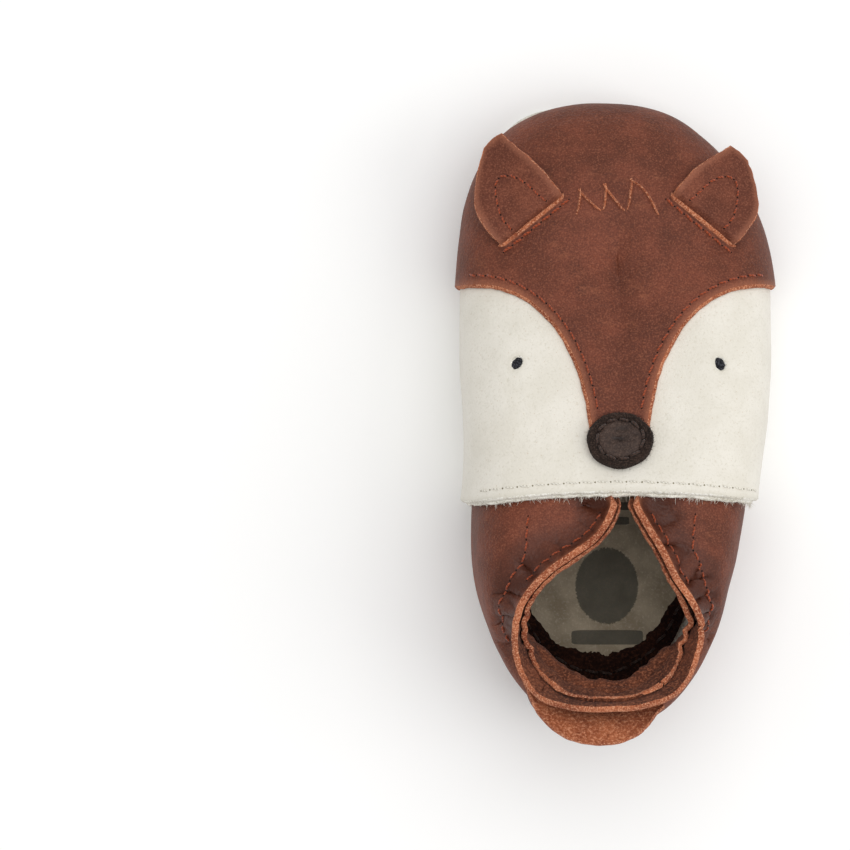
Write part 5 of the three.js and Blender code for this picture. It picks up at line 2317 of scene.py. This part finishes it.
@dataclass
class Ear:
    """One leaf-shaped ear, which comes up through a slit in the head leather."""

    word: str
    side: float
    pattern: Pattern = PATTERN
    head: Drape = Drape(Layer.HEAD)
    rise: float = 1.7
    lift: float = 0.2
    tall: float = 17.4
    sway: float = 0.9
    thickness: float = 1.1

    def __post_init__(self) -> None:
        """Works out the frame of the flap: along the slit, outwards, and its face."""
        centre, run = self.pattern.slit(self.side)
        over = lambda p: LAST.over(np.array([p[0]]), np.array([p[1]]), self.head.layer.outer)[0][0]
        across = np.array([-run[1], run[0]])
        half = self.pattern.ear_base / 2
        start, end = over(centre - run * half), over(centre + run * half)
        along = unit(end - start)
        out = over(centre + across * 8.2) - over(centre)
        out = unit(out - along * (out @ along))
        up = np.cross(along, out)
        self.root = (start + end) / 2 + up * self.rise
        self.along = along
        self.out = unit(out * math.cos(self.lift) + up * math.sin(self.lift))
        self.face = np.cross(self.along, self.out)

    def outline(self, b: Array) -> tuple[Array, Array]:
        """Outer and inner edge of the leaf at a height: curves through a few widths.

        Args:
            b: heights on the leaf.

        Returns:
            Lower and upper limits across.
        """
        up = np.array([-0.23, 0.0, 0.23, 0.48, 0.69, 0.86, 0.955, 0.99, 1.0]) * self.tall
        outer = np.array([-7.6, -7.9, -7.8, -6.9, -4.4, -1.3, 0.8, 2.0, 3.7])
        inner = np.array([7.6, 8.0, 7.9, 7.4, 6.7, 6.0, 5.6, 5.1, 3.7])
        lean = self.sway * (np.clip(b, 0, None) / self.tall) ** 2
        return smooth_curve(up, outer, b) + lean, smooth_curve(up, inner, b) + lean

    def place(self, a: Array, b: Array, share: Array | float) -> Array:
        """A point of the ear.

        Args:
            a: along the slit, towards the middle of the head.
            b: outwards from the slit; below 0 it dips through the slit.
            share: through the thickness, 1 on the upper face.

        Returns:
            The point on a gently cupped leaf. Its height is a parabola across, less a
            droop by the square of b, and its root turns down through a quarter circle.
        """
        root = np.clip(-b, 0, None)
        cup = 0.9 * (a / 8) ** 2 * smooth(b / 5) - 1.9 * (np.clip(b, 0, None) / 18) ** 2
        lump = 0.28 * noise(np.stack([a, b, 0 * a + 5 * self.side], -1), 6.0, 61) * smooth(b / 3)
        down = np.minimum(root, 3.2)
        height = cup + lump - 1.25 * (1 - np.cos(down / 3.2 * np.pi / 2)) * 1.6
        forward = np.where(b >= 0, b, -0.85 * down / 3.2)
        slope = smooth(root / 2.4)
        turn = (np.asarray(share) - 0.5) * self.thickness
        height = height + turn * (1 - 0.7 * slope)
        forward = forward - turn * 0.9 * slope
        shift = a[:, None] * self.along + forward[:, None] * self.out + height[:, None] * self.face
        return self.root + shift

    def build(self) -> None:
        """Makes the ear, its arch of stitches, the slit's lip and the seam below it."""
        rows = 34
        b = -3.4 + (self.tall + 3.4) * (1 - (1 - np.linspace(0, 1, rows)) ** 1.5)
        share = np.linspace(0, 1, 30)
        outer, inner = self.outline(b)
        a = outer[None] + (inner - outer)[None] * share[:, None]
        uv = np.stack([a.ravel(), np.broadcast_to(b, a.shape).ravel()], 1)
        grid = grid_faces(len(share), rows)
        place = lambda p, q, k: self.place(self.hand(p), q, k)
        faces = [grid]
        edge = lambda q: np.minimum(
            np.minimum(q[:, 0] - self.outline(q[:, 1])[0], self.outline(q[:, 1])[1] - q[:, 0]), self.tall - q[:, 1]
        )
        shape = thick(*turned(uv, faces, place), place, 0.15, 0.12, 27 + int(self.side), leather_values(edge))
        finishes = [Finish.EAR.made, Finish.FLESH.made, Finish.RAW.made]
        item = MAKER.piece(f"ear_leaf_{self.word}", shape, finishes)
        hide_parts(f"ear_{self.word}", f"ear_anchor_{self.word}")
        low, high = (self.frame_point(k) for k in (-0.6, 1.8))
        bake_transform(item, "shoe", f"ear_flap_{self.word}", start=low, end=high)
        LOG.info("%s: %d faces bending at its root", item.name, len(item.data.polygons))
        arch = spline(
            [
                (-4.2, -0.5), (-4.3, 2.5), (-3.0, 6.1), (-1.0, 9.2), (0.7, 9.9),
                (2.4, 8.7), (3.7, 5.9), (4.3, 1.7), (4.7, -0.5),
            ],
            70,
        )
        top = place(arch[:, 0], arch[:, 1], 1.0)
        normal = unit(top - place(arch[:, 0], arch[:, 1], 0.0))
        seam = Seam(1.5, 0.5, 0.21).stitches(top, normal)
        item = MAKER.piece(f"ear_arch_{self.word}", seam, [Finish.ORANGE.made, Finish.SHADOW.made])
        settle(item, f"ear_flap_{self.word}", "orange_thread", f"ear_stitching_{self.word}")
        self.slit()

    def hand(self, a: Array) -> Array:
        """Turns the leaf's own a, positive towards the middle of the head, into the frame's."""
        return -self.side * a

    def frame_point(self, b: float) -> tuple[float, float, float]:
        """A point out from the root, in metres, in the CAD frame."""
        p = self.root + self.out * b + np.array([LAST.shift[0], LAST.shift[1], 0.0])
        return tuple(float(c) * MM for c in p)

    def slit(self) -> None:
        """The raised raw lip below the slit, the gap behind it darkened by painted shade, and its seam."""
        centre, run = self.pattern.slit(self.side)
        across = np.array([-run[1], run[0]])
        along = np.linspace(-8.4, 8.4, 60)
        offset = np.linspace(-1.75, 1.0, 23)
        taper = np.clip((8.4 - np.abs(along)) / 1.1, 0, 1) ** 0.5
        wide = offset[None] * (0.25 + 0.75 * taper[:, None])
        plan = centre + run * along[:, None, None] + across * (wide - 0.25)[..., None]
        top, normal = self.head.seam(plan.reshape(-1, 2))
        lip = 0.85 * bell(offset, -0.68, 0.5) - 0.45 * bell(offset, 0.3, 0.35)
        rough = 0.1 * noise(plan.reshape(-1, 2) @ np.array([[1, 0, 0], [0, 1, 0]]), 0.6, 62)
        height = (taper[:, None] * lip[None]).ravel() * (1 + rough)
        height = height - 0.04 * np.tile(np.abs(offset + 0.375) > 1.3, 60)
        points = top + normal * (height + 0.04)[:, None]
        under = top - normal * 0.35
        n = len(points)
        upper = grid_faces(60, 23)[:, ::-1]
        rim = open_edges([upper], n)
        wall = np.stack([rim[:, 1], rim[:, 0], rim[:, 0] + n, rim[:, 1] + n], 1)
        column = np.tile(np.arange(22), 59)
        raw = (offset[column] > -1.2) & (offset[column] < -0.15)
        # Painted shade: the cut value darkens the gap behind the lip.
        cut = np.tile(bell(offset, 0.25, 0.42), 60)
        edge = np.tile(9 - 9 * bell(offset, -1.1, 0.4), 60)
        values = {"cut": np.tile(cut, 2), "edge": np.tile(edge, 2), "fold": np.zeros(2 * n)}
        groups = [(upper[~raw], 0), (upper[raw], 1), (upper[:, ::-1] + n, 0), (wall, 0)]
        item = MAKER.piece(f"ear_slit_{self.word}", Shape(np.vstack([points, under]), groups, values),
                           [Finish.BROWN.made, Finish.RAW.made])
        settle(item, "shoe", "brown_leather", f"ear_anchor_{self.word}")
        t = np.linspace(-8.4, 8.4, 50)
        plan = centre + run * t[:, None] - across * 2.05
        top, normal = self.head.seam(plan)
        seam = Seam(1.9, 0.45, 0.25).stitches(top, normal)
        item = MAKER.piece(f"ear_root_seam_{self.word}", seam, [Finish.ORANGE.made, Finish.SHADOW.made])
        settle(item, "shoe", "orange_thread", f"ear_base_stitching_{self.word}")


def turned(uv: Array, faces: Sequence[Array], place: Place) -> tuple[Array, list[Array]]:
    """Turns faces over if the grain side would otherwise point inwards.

    Args:
        uv: turns and ways up.
        faces: corner numbers, one row for each face.
        place: lays them in space.

    Returns:
        The grid places and the faces, turned over where needed.
    """
    f = faces[0][len(faces[0]) // 2 : len(faces[0]) // 2 + 1]
    top = place(uv[:, 0], uv[:, 1], 1.0)
    p = top[f[0]]
    up = (top - place(uv[:, 0], uv[:, 1], 0.0))[f[0]].mean(0)
    if np.dot(np.cross(p[1] - p[0], p[2] - p[0]), up) < 0:
        return uv, [g[:, ::-1] for g in faces]
    return uv, list(faces)


# ---------------------------------------------------------------- the stage


@dataclass
class Studio:
    """Pale floor, soft light from above and the camera straight over it."""

    height: float = 1.0
    view_width: float = 0.1755
    sensor: float = 36.0
    beside: float = -0.0387
    behind: float = -0.0009

    def build(self) -> None:
        """Makes the floor, the lights and the camera."""
        self.floor()
        self.lights()
        data = bpy.data.cameras.new("camera")
        data.sensor_width = self.sensor
        data.lens = self.sensor * self.height / self.view_width
        data.clip_start, data.clip_end = 0.01, 20.0
        camera = bpy.data.objects.new("camera", data)
        camera.location = (self.beside, self.behind, self.height)
        bpy.context.scene.collection.objects.link(camera)
        bpy.context.scene.camera = camera

    def floor(self) -> None:
        """A plain white sheet."""
        r = Recipe("floor_paper")
        tint = r.mix(r.lumps(90, 2.0) * 0.3, tone(252, 252, 251), tone(250, 250, 249))
        paper = r.finish({"Base Color": tint, "Roughness": 0.95, "Specular IOR Level": 0.1})
        corner = 3.0
        mesh = bpy.data.meshes.new("floor")
        low = -0.00005
        mesh.from_pydata(
            [(-corner, -corner, low), (corner, -corner, low), (corner, corner, low), (-corner, corner, low)],
            [], [(0, 1, 2, 3)],
        )
        mesh.materials.append(paper)
        item = bpy.data.objects.new("floor", mesh)
        bpy.context.scene.collection.objects.link(item)

    def lights(self) -> None:
        """An even white surround, one broad lamp above and a smaller one from the right."""
        world = bpy.data.worlds.new("surround")
        world.use_nodes = True
        world.node_tree.nodes["Background"].inputs[0].default_value = (1.0, 1.0, 1.0, 1.0)
        world.node_tree.nodes["Background"].inputs[1].default_value = 0.62
        bpy.context.scene.world = world
        for name, place, size, power in (
            ("lamp_above", (0.12, 0.3, 1.35), 1.3, 9.0),
            ("lamp_right", (0.9, -0.2, 0.9), 0.7, 3.2),
        ):
            lamp = bpy.data.lights.new(name, "AREA")
            lamp.shape, lamp.size, lamp.energy = "SQUARE", size, power
            item = bpy.data.objects.new(name, lamp)
            item.location = place
            item.rotation_euler = (Vector((0, 0, 0)) - Vector(place)).to_track_quat("-Z", "Y").to_euler()
            bpy.context.scene.collection.objects.link(item)
        bpy.context.scene.view_settings.view_transform = "Standard"


def main() -> None:
    """Builds the bootie from the ground up."""
    logging.basicConfig(level=logging.INFO, format="%(name)s: %(message)s")
    Studio().build()
    Sole().build()
    Back().build()
    HeelTab().build()
    Vamp().build()
    Nose().build()
    Ear("left", -1.0, tall=17.3).build()
    Ear("right", 1.0, tall=16.0, sway=-0.7).build()


if __name__ == "__main__":
    main()
